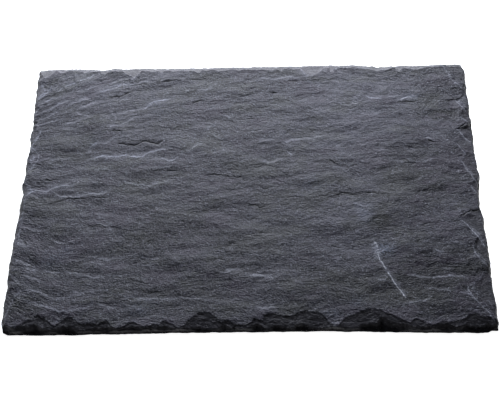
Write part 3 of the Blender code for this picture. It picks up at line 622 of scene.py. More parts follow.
CRESTS: tuple[Crest, ...] = (
    # the vein
    Crest(((77, -39), (80, -43), (81, -48), (81, -53), (83, -57), (85.5, -61), (87, -65), (89.5,
        -69.5), (92.5, -75), (95, -78.5), (96, -82)), 0.9),
    Crest(((96, -82), (99, -83), (105, -81), (112, -79)), 0.22),
    Crest(((85, -61), (87, -65), (90, -70), (91, -72)), 1.0),
    # crinkles of the split face
    Crest(((79, 69.5), (82, 69), (86, 67.5), (89, 67.5)), 0.4),
    Crest(((102, 65.5), (106, 68), (109, 69.5), (111, 68.3), (113, 70.2), (115, 69), (116, 67)),
        0.5),
    Crest(((26, 25.5), (28, 24), (31, 23.5)), 0.35), Crest(((19.5, 42), (23, 43.7)), 0.35),
    Crest(((24, 43.2), (30, 44), (33, 44.5), (36, 47), (41, 48)), 0.3),
    Crest(((-25, 41.5), (-22, 38), (-19, 36), (-15, 35)), 0.22),
    Crest(((-131, 82), (-126, 83.3), (-121.5, 84.3)), 0.3), Crest(((-86, 83.5), (-80, 83.5)), 0.3),
    Crest(((-135.5, 77), (-133, 79), (-131, 81.5)), 0.25),
    Crest(((-120, 87), (-116, 88.5), (-112, 90)), 0.25),
    Crest(((-144, -73.5), (-140, -72.5), (-132, -73), (-127, -75), (-123, -77), (-115, -78.5),
        (-108, -77), (-100, -74.5), (-92, -74), (-88, -72.5), (-80, -76.5), (-74, -77.5), (-66,
        -78.5), (-58, -79.5), (-48, -79), (-30, -78.5), (-22, -80), (-12, -81)), 0.26),
    Crest(((-143, -77), (-139, -78.5), (-133, -80), (-127, -82.5), (-115, -86.5), (-109, -87),
        (-103, -85.5), (-97, -84), (-92, -81.5)), 0.34),
    Crest(((-92, -81), (-89, -83.5), (-84, -85), (-80, -85), (-78, -88), (-80, -92)), 0.2),
    Crest(((-115, -59), (-111, -61), (-105, -63), (-98, -65.5), (-93, -65), (-88, -63), (-80,
        -64), (-75, -64.5)), 0.24),
    Crest(((-102, -49), (-96, -50.5), (-90, -52.5), (-84, -53), (-79, -50.5), (-75, -50), (-68,
        -50.5), (-62, -52), (-58, -53)), 0.28),
    Crest(((-146, -66), (-141, -65.5), (-137, -67), (-133, -71), (-128, -73)), 0.24),
    Crest(((-97, -20), (-94, -23), (-90, -26), (-86, -27)), 0.24),
    Crest(((-90, -28), (-87, -31), (-88, -33)), 0.28), Crest(((-106, -43), (-104, -40)), 0.3),
    Crest(((-70, -56), (-64, -56), (-58, -57)), 0.24),
    Crest(((-80, -26), (-75, -25), (-70, -27), (-62, -26)), 0.22),
    Crest(((-36, -50), (-28, -49.5), (-20, -50), (-12, -51.5), (-4, -51), (4, -49), (9, -51)),
        0.22),
    Crest(((-20, -46.5), (-13, -48)), 0.28), Crest(((-12, -15), (-9, -17.5), (-6, -18)), 0.42),
    Crest(((-16, -60), (-11, -61), (-8, -59), (-4, -60)), 0.26),
    Crest(((-5, -63), (1, -64.5), (8, -64), (13, -65), (17, -66)), 0.32),
    Crest(((16, -39), (20, -41), (25, -42), (30, -41.5), (36, -42)), 0.24),
    Crest(((45, -49.5), (48.5, -52)), 0.34), Crest(((3, -85), (9, -85.5), (16, -86)), 0.22),
    Crest(((76, -38), (79, -41), (77, -44), (80, -47), (78.5, -51), (83, -48), (86, -47)), 0.45),
    Crest(((96, -44), (100, -44), (104, -43), (108, -43), (111, -41), (114, -42), (117, -44.5),
        (120, -43.5), (124, -42), (130, -42), (134, -45), (140, -45)), 0.26),
    Crest(((101, -45.5), (103, -47), (104.5, -49.5)), 0.28),
    Crest(((115, -47), (118.5, -49.5), (122, -48.5)), 0.4),
    Crest(((97, -63), (108, -66), (120, -65.5), (127, -65), (134, -65.5), (136, -67)), 0.24),
    Crest(((105, -73), (115, -74), (123, -74), (128, -76), (134, -77)), 0.2),
    Crest(((78.5, -67.5), (85, -67.5)), 0.3), Crest(((131, -87.5), (134, -87), (139, -88)), 0.25),
    Crest(((-73, 61), (-69, 65), (-65, 66.5), (-62, 69), (-56, 70)), 0.4),
    Crest(((-61, 74), (-57.5, 76), (-56, 74)), 0.35),
    Crest(((-45, 76.5), (-43, 78), (-41, 77)), 0.45),
    Crest(((-36, 75.5), (-32, 77), (-28, 78), (-25, 81), (-21, 83)), 0.3),
    Crest(((5, 85.5), (12, 86), (20, 86.5), (30, 87)), 0.22),
    Crest(((-17, 57), (-14, 55), (-12, 52)), 0.28), Crest(((19, 62), (24, 65), (30, 67)), 0.24),
    Crest(((-30, 60), (-25, 63), (-21, 65)), 0.24), Crest(((-40, 73), (-36, 72.5)), 0.3),
    Crest(((-141, 21), (-135, 22), (-128, 21.5), (-118, 22)), 0.24),
    Crest(((-133, 19), (-130, 17), (-124, 17.5), (-121, 19)), 0.22),
    Crest(((-139, 37.5), (-133, 40), (-127, 44)), 0.24), Crest(((-137, 30), (-126, 32.5)), 0.22),
    Crest(((-116, 30), (-113, 26), (-110, 24)), 0.26), Crest(((-108, 30), (-101, 37.5)), 0.3),
    Crest(((-105, 21), (-100, 23.5), (-95, 25), (-90, 24), (-82, 25), (-76, 23.5), (-70, 25)),
        0.3),
    Crest(((-103, 13), (-99, 14), (-94, 13), (-89, 13.5)), 0.22),
    Crest(((-38, 28.5), (-35, 31), (-32, 33), (-30, 32.5)), 0.26),
    Crest(((-22, 17), (-20.5, 15), (-19, 14)), 0.3), Crest(((-7, 17), (-4, 19.5), (2, 22)), 0.22),
    Crest(((21, 36), (24, 34), (27, 32.5)), 0.28), Crest(((10, 41), (13, 40), (18, 42)), 0.22),
    Crest(((117, 33.5), (119, 35), (121, 34.5), (125, 32.5)), 0.36),
    Crest(((125, 39), (129, 38), (132, 36)), 0.24), Crest(((126, 30), (129, 32), (133, 33)), 0.24),
    Crest(((115, 31), (117, 29), (119, 28)), 0.26),
    Crest(((119, 51.5), (121, 55), (125, 57.5), (131, 59), (138, 58.5)), 0.3),
    Crest(((92, 61), (98, 58), (102, 57)), 0.22), Crest(((83, 61), (86, 58), (88, 54)), 0.28),
    # scars of the back edge
    Crest(((-91, 94), (-85, 89), (-81.5, 88), (-77, 92)), 0.35),
    Crest(((35, 96), (37, 92), (39, 89), (42, 87.8)), 0.5),
    Crest(((-120, 94), (-117, 92.3), (-113, 93.5)), 0.3),
    Crest(((-108, 93.5), (-105, 91), (-102, 90.5)), 0.25),
    # facets of the right edge, back to front
    Crest(((134.5, 97), (137, 91.5), (139.5, 85), (142, 80.5), (147.5, 76)), 0.5),
    Crest(((140.5, 67), (143, 63), (147.5, 56)), 0.6), Crest(((142, 53), (148, 46)), 0.5),
    Crest(((138.5, 42.5), (141, 39.5), (144, 35), (148, 31)), 0.6),
    Crest(((137, 31.5), (139, 28), (143.5, 21)), 0.4),
    Crest(((138.5, 18), (142, 11), (145, 5), (148, -1)), 0.6), Crest(((143, -1), (148, -9)), 0.5),
    Crest(((133.5, -25), (136, -28), (139, -31), (142, -36), (145, -41), (148, -47)), 0.75),
    Crest(((138, -30), (141, -32.5), (144.5, -36), (146, -40), (147.5, -42)), 0.5),
    Crest(((131.5, -32), (136, -31), (139, -31.5)), 0.25),
    Crest(((140, -44), (140.5, -49), (143, -54), (147.5, -59)), 0.5),
    Crest(((143, -50), (146, -55)), 0.35),
    Crest(((134, -70), (133.5, -74), (136, -79), (140, -84), (144, -89), (148, -95)), 0.6),
    Crest(((130, -76.5), (134, -77.5)), 0.3), Crest(((144.5, -81), (147, -87)), 0.4),
    # left edge
    Crest(((-148, 71), (-143, 76), (-140, 79), (-139, 84)), 0.4),
    Crest(((-148, 32), (-145, 36), (-142.5, 41), (-142, 46)), 0.6),
    Crest(((-148, 10), (-144.5, 15), (-141.5, 21), (-141, 26), (-144.5, 30), (-148, 33)), 0.5),
    Crest(((-147, 15), (-144.5, 20), (-144, 26)), 0.35), Crest(((-148, 57), (-146, 64)), 0.35),
    Crest(((-146, -44), (-146.2, -36), (-145.5, -26), (-146, -16), (-145, -8)), 0.45),
    Crest(((-146.5, -38), (-142, -42), (-138, -44)), 0.3),
    Crest(((-148, -93), (-146, -86), (-144, -80), (-142, -76), (-139, -74.5)), 0.42),
)

SWEEPS: tuple[Sweep, ...] = (
    Sweep(-132, 86, 46, 46, 0.56, True), Sweep(-62, 68, 24, 22, 0.16),
    Sweep(-25, 78, 40, 20, 0.10), Sweep(-100, 38, 22, 16, 0.12), Sweep(-136, -50, 30, 22, -0.40),
    Sweep(-122, -72, 28, 18, -0.20), Sweep(-92, -62, 24, 18, -0.14),
    Sweep(-65, -66, 18, 14, -0.27), Sweep(55, -76, 14, 10, -0.40), Sweep(66, 6, 16, 11, -0.42),
    Sweep(45, -50, 40, 14, -0.10), Sweep(120, -45, 28, 14, -0.06), Sweep(117, 42, 30, 22, -0.18),
)

BLOOMS: tuple[Stain, ...] = (
    Stain(85, -47, 6, 4, 1.7), Stain(74, -20, 5, 8, 0.7), Stain(-123, -53, 7, 6, 0.5),
    Stain(-113, -46, 5, 4, 0.4), Stain(-66, -85, 7, 5, 0.45), Stain(-105, 35, 4, 4, 0.5),
    Stain(112, 69, 5, 4, 0.6), Stain(-66, 66, 6, 4, 0.4), Stain(42, 0, 8, 5, 0.35),
    Stain(66, -82, 5, 4, 0.4), Stain(51, -90, 5, 5, 0.4), Stain(-60, 58, 9, 5, 0.3),
)

SHADES: tuple[Stain, ...] = (
    # small patches
    Stain(75, -19, 6, 6, -2.2), Stain(82.5, -27, 6, 4.5, 3.2), Stain(-109, 38, 5, 12, 0.8),
    Stain(-103, 52, 8, 6, 0.6), Stain(131, 54, 10, 4, 2.2), Stain(109, 42, 8, 5, 1.0),
    Stain(-68, 62, 6, 3, 0.6), Stain(-134, -87, 12, 6, 0.7), Stain(-30, -88, 8, 4, 0.3),
    Stain(70, -8, 10, 3, 0.3), Stain(118, 31, 8, 3, 0.4), Stain(-146, 81, 4, 5, -0.9),
    Stain(109, 69, 6, 2, -1.2), Stain(85, 57, 4, 4, -0.6), Stain(-100, 20, 5, 14, 0.4),
    # slow drift of the tone, darker to the right and to the front, away from the back left lamp:
    # painted light and shade
    Stain(66, 44, 28, 18, -1.15), Stain(62, 78, 42, 15, -0.75), Stain(-50, 80, 34, 15, -0.45),
    Stain(112, 42, 18, 14, -0.60), Stain(114, 4, 24, 16, 0.50), Stain(118, -68, 28, 20, 1.10),
    Stain(62, -72, 30, 14, 0.45), Stain(-30, -32, 60, 16, 0.30), Stain(-112, 42, 26, 16, -0.50),
    Stain(-112, 78, 26, 14, -0.20), Stain(-50, -72, 30, 14, 0.20), Stain(62, -30, 30, 14, -0.25),
)


@dataclass(frozen=True)
class Outline:
    """The ragged rectangle that the slab was dressed to."""

    length: float = 300.0
    depth: float = 200.0
    teeth: tuple[Point, ...] = ((0.42, 6.1), (0.30, 2.7), (0.18, 1.3))  # height and pitch
    bite: tuple[float, ...] = (0.45, 0.8, 1.0, 1.0)  # share of the teeth on each edge
    shelf_teeth: tuple[Point, ...] = ((0.6, 4.3), (0.45, 1.9), (0.3, 0.9))
    tooth_span: float = 160.0  # teeth are drawn this far both ways from the middle
    edge_zone: float = 0.82  # share of the half size from which the grid follows the outline
    seed: int = 5
    shelf_seed: int = 20  # added to the seed for the broken layers

    def frayed(
        self, line: np.ndarray, place: np.ndarray, teeth: Iterable[Point], seed: int
    ) -> np.ndarray:
        """Add ragged teeth to a line along an edge.

        Args:
            line: the line's distance at each place.
            place: places along the edge.
            teeth: height and pitch of each size of tooth.
            seed: seed of the teeth.

        Returns:
            The line with its teeth.
        """
        chance = np.random.default_rng(seed)
        span = self.tooth_span
        for height, pitch in teeth:
            knots = np.arange(-span, span + pitch, pitch) + chance.uniform(0.0, pitch)
            line = line + np.interp(place, knots, chance.uniform(-height, height, len(knots)))
        return line

    def offset(self, edge: Edge, place: np.ndarray) -> np.ndarray:
        """Outward offset of one cut edge at places along it."""
        fine = self.frayed(np.zeros_like(place), place, self.teeth, self.seed + edge.value)
        return np.interp(place, *zip(*OUTLINES[edge])) + self.bite[edge.value] * fine

    def shelf(self, level: int, place: np.ndarray) -> np.ndarray:
        """Reach of one front layer, 0 the upper one, from the rectangle's edge."""
        reach = np.interp(place, *zip(*SHELVES[level]))
        return self.frayed(reach, place, self.shelf_teeth, self.seed + self.shelf_seed + level)

    def inward(self, edge: Edge, x: np.ndarray, y: np.ndarray) -> np.ndarray:
        """Distance inwards from one cut edge.

        Args:
            edge: the edge.
            x: points along the long side.
            y: points along the short side.

        Returns:
            The distance of each point.
        """
        half_x, half_y = self.length / 2, self.depth / 2
        if edge is Edge.FRONT:
            return y + half_y + self.offset(edge, x)
        if edge is Edge.BACK:
            return half_y + self.offset(edge, x) - y
        if edge is Edge.LEFT:
            return x + half_x + self.offset(edge, y)
        return half_x + self.offset(edge, y) - x

    def pull(self, place: np.ndarray, half: float) -> np.ndarray:
        """Share of the outline's offset that the grid takes at each place, 1 at the edge."""
        return eased((np.abs(place) / half - self.edge_zone) / (1 - self.edge_zone))

    def follow(self, x: np.ndarray, y: np.ndarray) -> tuple[np.ndarray, np.ndarray]:
        """Move a rectangular grid's outer cells on to the ragged outline.

        Args:
            x: grid points along the long side.
            y: grid points along the short side.

        Returns:
            The moved points.
        """
        near_x, near_y = self.pull(x, self.length / 2), self.pull(y, self.depth / 2)
        side_x = np.where(x < 0, -self.offset(Edge.LEFT, y), self.offset(Edge.RIGHT, y))
        side_y = np.where(y < 0, -self.offset(Edge.FRONT, x), self.offset(Edge.BACK, x))
        return x + near_x * side_x, y + near_y * side_y


@dataclass(frozen=True)
class Trace:
    """How far each point of the face lies from one path, on which side, and how near its ends."""

    nearest: np.ndarray
    side: np.ndarray
    ends: np.ndarray

    @classmethod
    def along(cls, path: Iterable[Point], x: np.ndarray, y: np.ndarray) -> Trace:
        """Measure every point against a path.

        Args:
            path: the path's points.
            x: points along the long side.
            y: points along the short side.

        Returns:
            The measures, with ends easing to 0 at both ends of the path.
        """
        points = np.array(list(path), float)
        nearest = np.full_like(x, np.inf)
        side = np.zeros_like(x)
        ends = np.zeros_like(x)
        legs = len(points) - 1
        for leg in range(legs):
            start, run = points[leg], points[leg + 1] - points[leg]
            free = ((x - start[0]) * run[0] + (y - start[1]) * run[1]) / (run @ run)
            share = np.clip(free, 0.0, 1.0)
            gap_x = x - start[0] - share * run[0]
            gap_y = y - start[1] - share * run[1]
            gap = np.hypot(gap_x, gap_y)
            closer = gap < nearest
            nearest = np.where(closer, gap, nearest)
            side = np.where(closer, np.sign(run[0] * gap_y - run[1] * gap_x), side)
            ends = np.where(closer, (leg + share) / legs, ends)
        return cls(nearest, side, eased(ends * 5.0) * eased((1.0 - ends) * 5.0))


def eased(value: np.ndarray) -> np.ndarray:
    """Ease from 0 to 1 as the value does."""
    share = np.clip(value, 0.0, 1.0)
    return share * share * (3.0 - 2.0 * share)


@dataclass(frozen=True)
class RivenFace:
    """What the split face carries at every point: its swells, ledges, cracks and grain."""

    KINDS = ("pale", "dark", "crack", "crest")
    swells: tuple[tuple[float, float, float, float], ...] = (
        (0.22, 190.0, 74.0, 0.4), (0.16, -120.0, 41.0, 2.1), (0.12, 83.0, 27.0, 4.0),
        (0.08, 61.0, 17.0, 1.2), (0.06, -47.0, 12.0, 5.3),
    )  # height, wavelength along x and y, phase
    wobble: tuple[tuple[float, float, float, float], ...] = (
        (0.40, 17.0, 41.0, 0.3), (0.27, 7.3, -19.0, 2.2), (0.20, 4.1, 13.0, 4.4),
        (0.14, 2.3, -7.0, 1.1),
    )  # the same, for the wander of a ledge's line
    window: float = 26.0  # distance from a path beyond which it changes nothing
    faintest: float = 0.02  # strength under which a line isn't kept
    full_drop: float = 0.6  # drop from which a ledge's line has its full strength

    @staticmethod
    def waves(table: Sequence[Sequence[float]], x: np.ndarray, y: np.ndarray) -> np.ndarray:
        """Sum plane waves.

        Args:
            table: height, wavelength along x and y, and phase of each wave.
            x: points along the long side.
            y: points along the short side.

        Returns:
            Their sum at each point.
        """
        return sum(
            height * np.sin(2.0 * np.pi * (x / length_x + y / length_y) + phase)
            for height, length_x, length_y, phase in table
        )

    def lowered(self, x: np.ndarray, y: np.ndarray) -> dict[str, np.ndarray]:
        """Carve every ledge and crack, and note where the nearest one's line runs.

        Args:
            x: points along the long side.
            y: points along the short side.

        Returns:
            The depth carved; for each kind of line the signed distance to the nearest one, in
            millimetres, and its strength.
        """
        found = {"carved": np.zeros_like(x)}
        for kind in self.KINDS:
            found[f"{kind}_gap"] = np.full_like(x, self.window)
            found[f"{kind}_power"] = np.zeros_like(x)
        wander_y = y + self.waves(self.wobble, x, y)
        for feature in (*LEDGES, *CRACKS, *CRESTS):
            points = np.array(feature.path)
            low, high = points.min(axis=0) - self.window, points.max(axis=0) + self.window
            near = np.flatnonzero((x > low[0]) & (x < high[0]) & (y > low[1]) & (y < high[1]))
            trace = Trace.along(feature.path, x[near], wander_y[near])
            if isinstance(feature, Ledge):
                self.carve_ledge(found, near, feature, trace)
            elif isinstance(feature, Crack):
                self.carve_crack(found, near, feature, trace)
            else:
                power = feature.strength * eased(trace.ends * 3.0)
                self.note_line(found, near, "crest", trace.nearest * trace.side, power)
        return found

    def note_line(
        self,
        found: dict[str, np.ndarray],
        near: np.ndarray,
        kind: str,
        away: np.ndarray,
        power: np.ndarray,
    ) -> None:
        """Keep a line's distance and strength where it is the nearest of its kind.

        Args:
            found: what is carved and noted so far, which is changed.
            near: numbers of the points around the line.
            kind: kind of the line.
            away: signed distance of each of those points.
            power: the line's strength at each of them.
        """
        gap = found[f"{kind}_gap"]
        closer = (np.abs(away) < np.abs(gap[near])) & (power > self.faintest)
        gap[near[closer]] = away[closer]
        found[f"{kind}_power"][near[closer]] = power[closer]

    def carve_ledge(
        self, found: dict[str, np.ndarray], near: np.ndarray, ledge: Ledge, trace: Trace
    ) -> None:
        """Add one ledge to what is carved.

        Args:
            found: what is carved and noted so far, which is changed.
            near: numbers of the points around the ledge.
            ledge: the ledge.
            trace: those points measured against its path.
        """
        away = trace.nearest * trace.side * math.copysign(1.0, ledge.drop)
        step = eased(away / ledge.riser + 0.5)
        fade = np.exp(-((np.maximum(away, 0.0) / ledge.reach) ** 2))
        depth = ledge.drop if ledge.drop > 0 else -0.6 * ledge.drop
        found["carved"][near] += depth * step * fade * trace.ends
        power = trace.ends * min(1.0, (abs(ledge.drop) / self.full_drop) ** 1.5)
        # a riser facing the back lamp gets a painted highlight line, one facing the front a
        # painted shade line
        self.note_line(found, near, "pale" if ledge.drop > 0 else "dark", away, power)

    def carve_crack(
        self, found: dict[str, np.ndarray], near: np.ndarray, crack: Crack, trace: Trace
    ) -> None:
        """Add one crack to what is carved.

        Args:
            found: what is carved and noted so far, which is changed.
            near: numbers of the points around the crack.
            crack: the crack.
            trace: those points measured against its path.
        """
        ends = eased(trace.ends * 2.0)
        groove = np.exp(-((trace.nearest / crack.width) ** 2))
        found["carved"][near] += 0.5 * crack.depth * groove * ends
        power = min(1.0, 1.8 * crack.depth) * ends
        self.note_line(found, near, "crack", trace.nearest * trace.side, power)

    def grain(self, x: np.ndarray, y: np.ndarray) -> np.ndarray:
        """Place across the grain, which each streak of the face keeps along its length.

        Args:
            x: points along the long side.
            y: points along the short side.

        Returns:
            The place of each point.
        """
        across = y.copy()
        for sweep in SWEEPS:
            run = (x - sweep.x) / sweep.half_x
            bend = np.tanh(run) - 1.0 if sweep.fans else run * np.exp(-(run**2))
            fade = np.exp(-(((y - sweep.y) / sweep.half_y) ** 2))
            across = across - sweep.slope * sweep.half_x * bend * fade
        return across

    @staticmethod
    def patches(stains: Iterable[Stain], x: np.ndarray, y: np.ndarray) -> np.ndarray:
        """Sum soft patches.

        Args:
            stains: the patches.
            x: points along the long side.
            y: points along the short side.

        Returns:
            Their strength at each point.
        """
        return sum(
            stain.strength
            * np.exp(-(((x - stain.x) / stain.half_x) ** 2) - ((y - stain.y) / stain.half_y) ** 2)
            for stain in stains
        )


# Finish


@dataclass(frozen=True)
class Signs:
    """What the slate reads at a point, by name."""

    bench: Bench
    place: Wire  # object coordinates
    noises: Mapping[str, Wire]
    lines: Mapping[str, Mapping[str, Wire]]  # each line's parts, by the kind of line
    marks: Mapping[str, Wire]  # the mesh's own values


@dataclass(frozen=True)
class SlateFinish:
    """Dull blue-grey slate: mottled, crinkled along its grain, with painted highlights on its
    edges and painted shade.
    """

    # Noises in grain coordinates: cells a metre along, across and up, octaves, their strength
    BEND = ((170.0, 260.0, 260.0), 2, 0.5)
    STREAKS = {
        "streak": ((230.0, 700.0, 700.0), 2, 0.6),
        "crinkle": ((920.0, 1200.0, 950.0), 2, 0.7),
        "layers": ((44.0, 105.0, 105.0), 5, 0.6),
        "tints": ((34.0, 80.0, 80.0), 4, 0.6),
    }
    # Noises that run alike all ways: cells a metre, octaves, their strength
    SPECKS = {"grit": (1500.0, 2, 0.8), "fleck": (1100.0, 0, 0.5), "patches": (22.0, 3, 0.5)}
    # Width of each kind of line, and how far the noise moves it, in millimetres
    LINES = {"pale": (0.70, 2.4), "dark": (0.42, 1.6), "crack": (0.42, 0.6), "crest": (0.40, 1.3)}
    MARKS = ("scar", "wear", "bloom", "shade", "dust", "foot")

    dark: Colour = (0.0040, 0.0039, 0.0052, 1.0)
    light: Colour = (0.0450, 0.0444, 0.0562, 1.0)
    olive: Colour = (0.0232, 0.0240, 0.0214, 1.0)
    mauve: Colour = (0.0246, 0.0208, 0.0300, 1.0)
    broken: Colour = (0.0195, 0.0188, 0.0220, 1.0)
    foot: Colour = (0.0068, 0.0066, 0.0078, 1.0)
    highlight_and_fleck: Colour = (0.150, 0.156, 0.185, 1.0)
    dust: Colour = (0.200, 0.195, 0.198, 1.0)
    vein_and_highlight: Colour = (0.420, 0.430, 0.460, 1.0)
    painted_shade: Colour = (0.003, 0.003, 0.004, 1.0)
    bloom: Colour = (0.070, 0.082, 0.110, 1.0)
    wander: float = 0.0036  # how far the streaks bend across the grain
    crinkle_depth: float = 0.00085
    grit_depth: float = 0.00016
    ledge_depth: float = 0.00040
    layer_depth: float = 0.00018
    layer_count: float = 15.0
    smoothed: float = 0.65  # share of the fine relief that the scars and the foot lose
    roughness: tuple[float, float] = (0.36, 0.14)  # least, and what the grit adds
    foot_roughness: float = 0.8
    specular: float = 0.16
    foot_specular: float = 0.02

    def material(self) -> bpy.types.Material:
        """Build the slate material.

        Returns:
            The material.
        """
        material = bpy.data.materials.new("riven_slate")
        material.use_nodes = True
        material.node_tree.nodes.clear()
        bench = Bench(material.node_tree)
        place = bench.node("ShaderNodeTexCoord", output="Object")
        marks = {name: self.mark(bench, name) for name in self.MARKS}
        noises = self.noises(bench, place)
        lines = {kind: self.line(bench, kind, noises) for kind in self.LINES}
        signs = Signs(bench, place, noises, lines, marks)
        colour, relief = self.colour(signs), self.relief(signs)
        least, added = self.roughness
        rough = least + added * noises["grit"]
        face = self.shader(bench, colour, rough, relief, self.specular)
        rim = self.shader(bench, colour, self.foot_roughness, relief, self.foot_specular)
        dull = marks["foot"].maximum((marks["dust"] * 1.5).held())
        both = bench.node("ShaderNodeMixShader", sockets={0: dull, 1: face, 2: rim})
        bench.raw("ShaderNodeOutputMaterial", sockets={"Surface": both})
        return material

    @staticmethod
    def shader(bench: Bench, colour: Wire, rough: Any, relief: Wire, specular: float) -> Wire:
        """One stone shader.

        Args:
            bench: the material's bench.
            colour: base colour.
            rough: roughness.
            relief: bumped normal.
            specular: strength of the reflection.

        Returns:
            The shader.
        """
        sockets = {
            "Base Color": colour,
            "Roughness": rough,
            "Metallic": 0.0,
            "Specular IOR Level": specular,
            "Normal": relief,
        }
        return bench.node("ShaderNodeBsdfPrincipled", sockets=sockets)

    @staticmethod
    def mark(bench: Bench, name: str) -> Wire:
        """Read one of the mesh's own values."""
        return bench.node("ShaderNodeAttribute", {"attribute_name": name}, output="Fac")

    def noises(self, bench: Bench, place: Wire) -> dict[str, Wire]:
        """Make the noises that colour and relief share.

        Args:
            bench: the material's bench.
            place: object coordinates.

        Returns:
            The noises, by name.
        """
        grain = bench.node("ShaderNodeAttribute", {"attribute_name": "grain"}, output="Vector")
        x, across, height = bench.split(grain)
        bend = bench.stretched((x, across, height), *self.BEND) - 0.5
        point = (x, across + bend * self.wander, height)
        found = {name: bench.stretched(point, *sizes) for name, sizes in self.STREAKS.items()}
        found |= {name: bench.noise(place, *sizes) for name, sizes in self.SPECKS.items()}
        return found | {"bend": bend}

    def line(self, bench: Bench, kind: str, noises: Mapping[str, Wire]) -> dict[str, Wire]:
        """Draw the fine jagged lines of one kind.

        Args:
            bench: the material's bench.
            kind: one of the face's kinds of line.
            noises: the shared noises.

        Returns:
            The line's "core", a wider and weaker "halo", and a small "step" in height along it.
        """
        width, jag = self.LINES[kind]
        gap = self.mark(bench, f"{kind}_gap") + (noises["crinkle"] + noises["bend"] - 0.5) * jag
        power = self.mark(bench, f"{kind}_power")
        if kind in ("pale", "dark"):
            power = power * noises["streak"].eased(0.25, 0.6)
        share = gap / width
        core = (-(share * share)).math("EXPONENT") * power
        halo = (share * share * -0.12).math("EXPONENT") * power
        return {"core": core, "halo": halo, "step": -(share * core)}

    def colour(self, signs: Signs) -> Wire:
        """Paint the stone.

        Args:
            signs: what is read at a point.

        Returns:
            The base colour.
        """
        noises, lines, marks, bench = signs.noises, signs.lines, signs.marks, signs.bench
        tone = 0.24 * noises["streak"] + 0.42 * noises["crinkle"] + 0.34 * noises["grit"]
        # the shade patches lower the tone; their slow drift is painted light and shade
        tone = tone + 0.21 * (noises["patches"] - 0.5) - 0.13 * marks["shade"]
        stone = bench.blend(tone.eased(0.36, 0.66), self.dark, self.light)
        stone = bench.blend(0.42 * noises["tints"].eased(0.52, 0.62), stone, self.olive)
        stone = bench.blend(0.6 * (1.0 - noises["tints"].eased(0.38, 0.48)), stone, self.mauve)
        glow = (marks["bloom"] * noises["crinkle"].eased(0.35, 0.7) * 0.8).held()
        stone = bench.blend(glow, stone, self.bloom)
        # scar colour, heavier along the front edge as painted shade
        stone = bench.blend(marks["scar"] * 0.9, stone, self.broken)
        # painted shade low on the rim
        stone = bench.blend(marks["foot"] * 0.8, stone, self.foot)
        # painted highlights along lit risers, crests and chip rims, with the stone's own flecks
        stone = bench.blend(self.highlights_and_flecks(signs).held(), stone, self.highlight_and_fleck)
        # painted light on the back and side bevels
        rim_light_share = marks["dust"] * (0.4 + 0.6 * noises["grit"].eased(0.35, 0.65))
        stone = bench.blend(rim_light_share.held(), stone, self.dust)
        # the pale vein, and painted highlights on the other crests
        stone = bench.blend(lines["crest"]["core"] ** 3.0 * 0.6, stone, self.vein_and_highlight)
        # painted shade in the cracks and along the risers that face away from the lamp
        shade = lines["dark"]["core"] * 0.55 + lines["crack"]["core"] * 0.95
        return bench.blend(shade.held(), stone, self.painted_shade)

    @staticmethod
    def highlights_and_flecks(signs: Signs) -> Wire:
        """Share of pale colour: painted highlights on lit risers, crests and chip rims, the vein,
        and flecks.

        Args:
            signs: what is read at a point.

        Returns:
            The share, which may pass 1.
        """
        noises, lines, marks = signs.noises, signs.lines, signs.marks
        uneven = 0.35 + 0.65 * noises["grit"].eased(0.38, 0.62)
        # painted highlights along the risers that face the lamp, the crests and the chips' rims
        pale = lines["pale"]["core"] * 0.50 * uneven + lines["pale"]["halo"] * 0.13
        pale = pale + lines["crest"]["core"] * 0.85 * uneven + lines["crest"]["halo"] * 0.12
        pale = pale + marks["wear"] * noises["crinkle"].eased(0.35, 0.65) * 0.75
        _, _, height = signs.bench.split(signs.place)
        above = 0.25 + 0.75 * height.eased(0.0005, 0.0015)  # few flecks show on the underside
        flecks = noises["fleck"].eased(0.66, 0.80) * 0.40
        return pale + flecks * above * (1.0 - 0.7 * marks["scar"])

    def relief(self, signs: Signs) -> Wire:
        """Raise the finest crinkles, the grit and the risers of the ledges.

        Args:
            signs: what is read at a point.

        Returns:
            The bumped normal.
        """
        noises, lines, marks = signs.noises, signs.lines, signs.marks
        kept = 1.0 - self.smoothed * marks["scar"].maximum(marks["foot"]).held()
        height = self.crinkle_depth * (0.45 * noises["streak"] + 0.55 * noises["crinkle"] - 0.5)
        height = (height + self.grit_depth * (noises["grit"] - 0.5)) * kept
        steps = lines["pale"]["step"] + lines["dark"]["step"] - lines["crack"]["core"]
        height = height + self.ledge_depth * steps
        depth = noises["layers"] * self.layer_count
        height = height + self.layer_depth * depth.stepped(0.38, 0.62)
        sockets = {"Strength": 1.0, "Distance": 1.0, "Height": height}
        return signs.bench.node("ShaderNodeBump", sockets=sockets)


# The slab


@dataclass(frozen=True)
class Cells:
    """Size and character of one noise over the slab."""

    length: float | str  # of a cell along the slab, or the input that gives it
    width: float | str  # of a cell the other way
    offset: float  # added to the tree's seed
    detail: int  # number of finer octaves
    rough: float  # strength of each finer octave


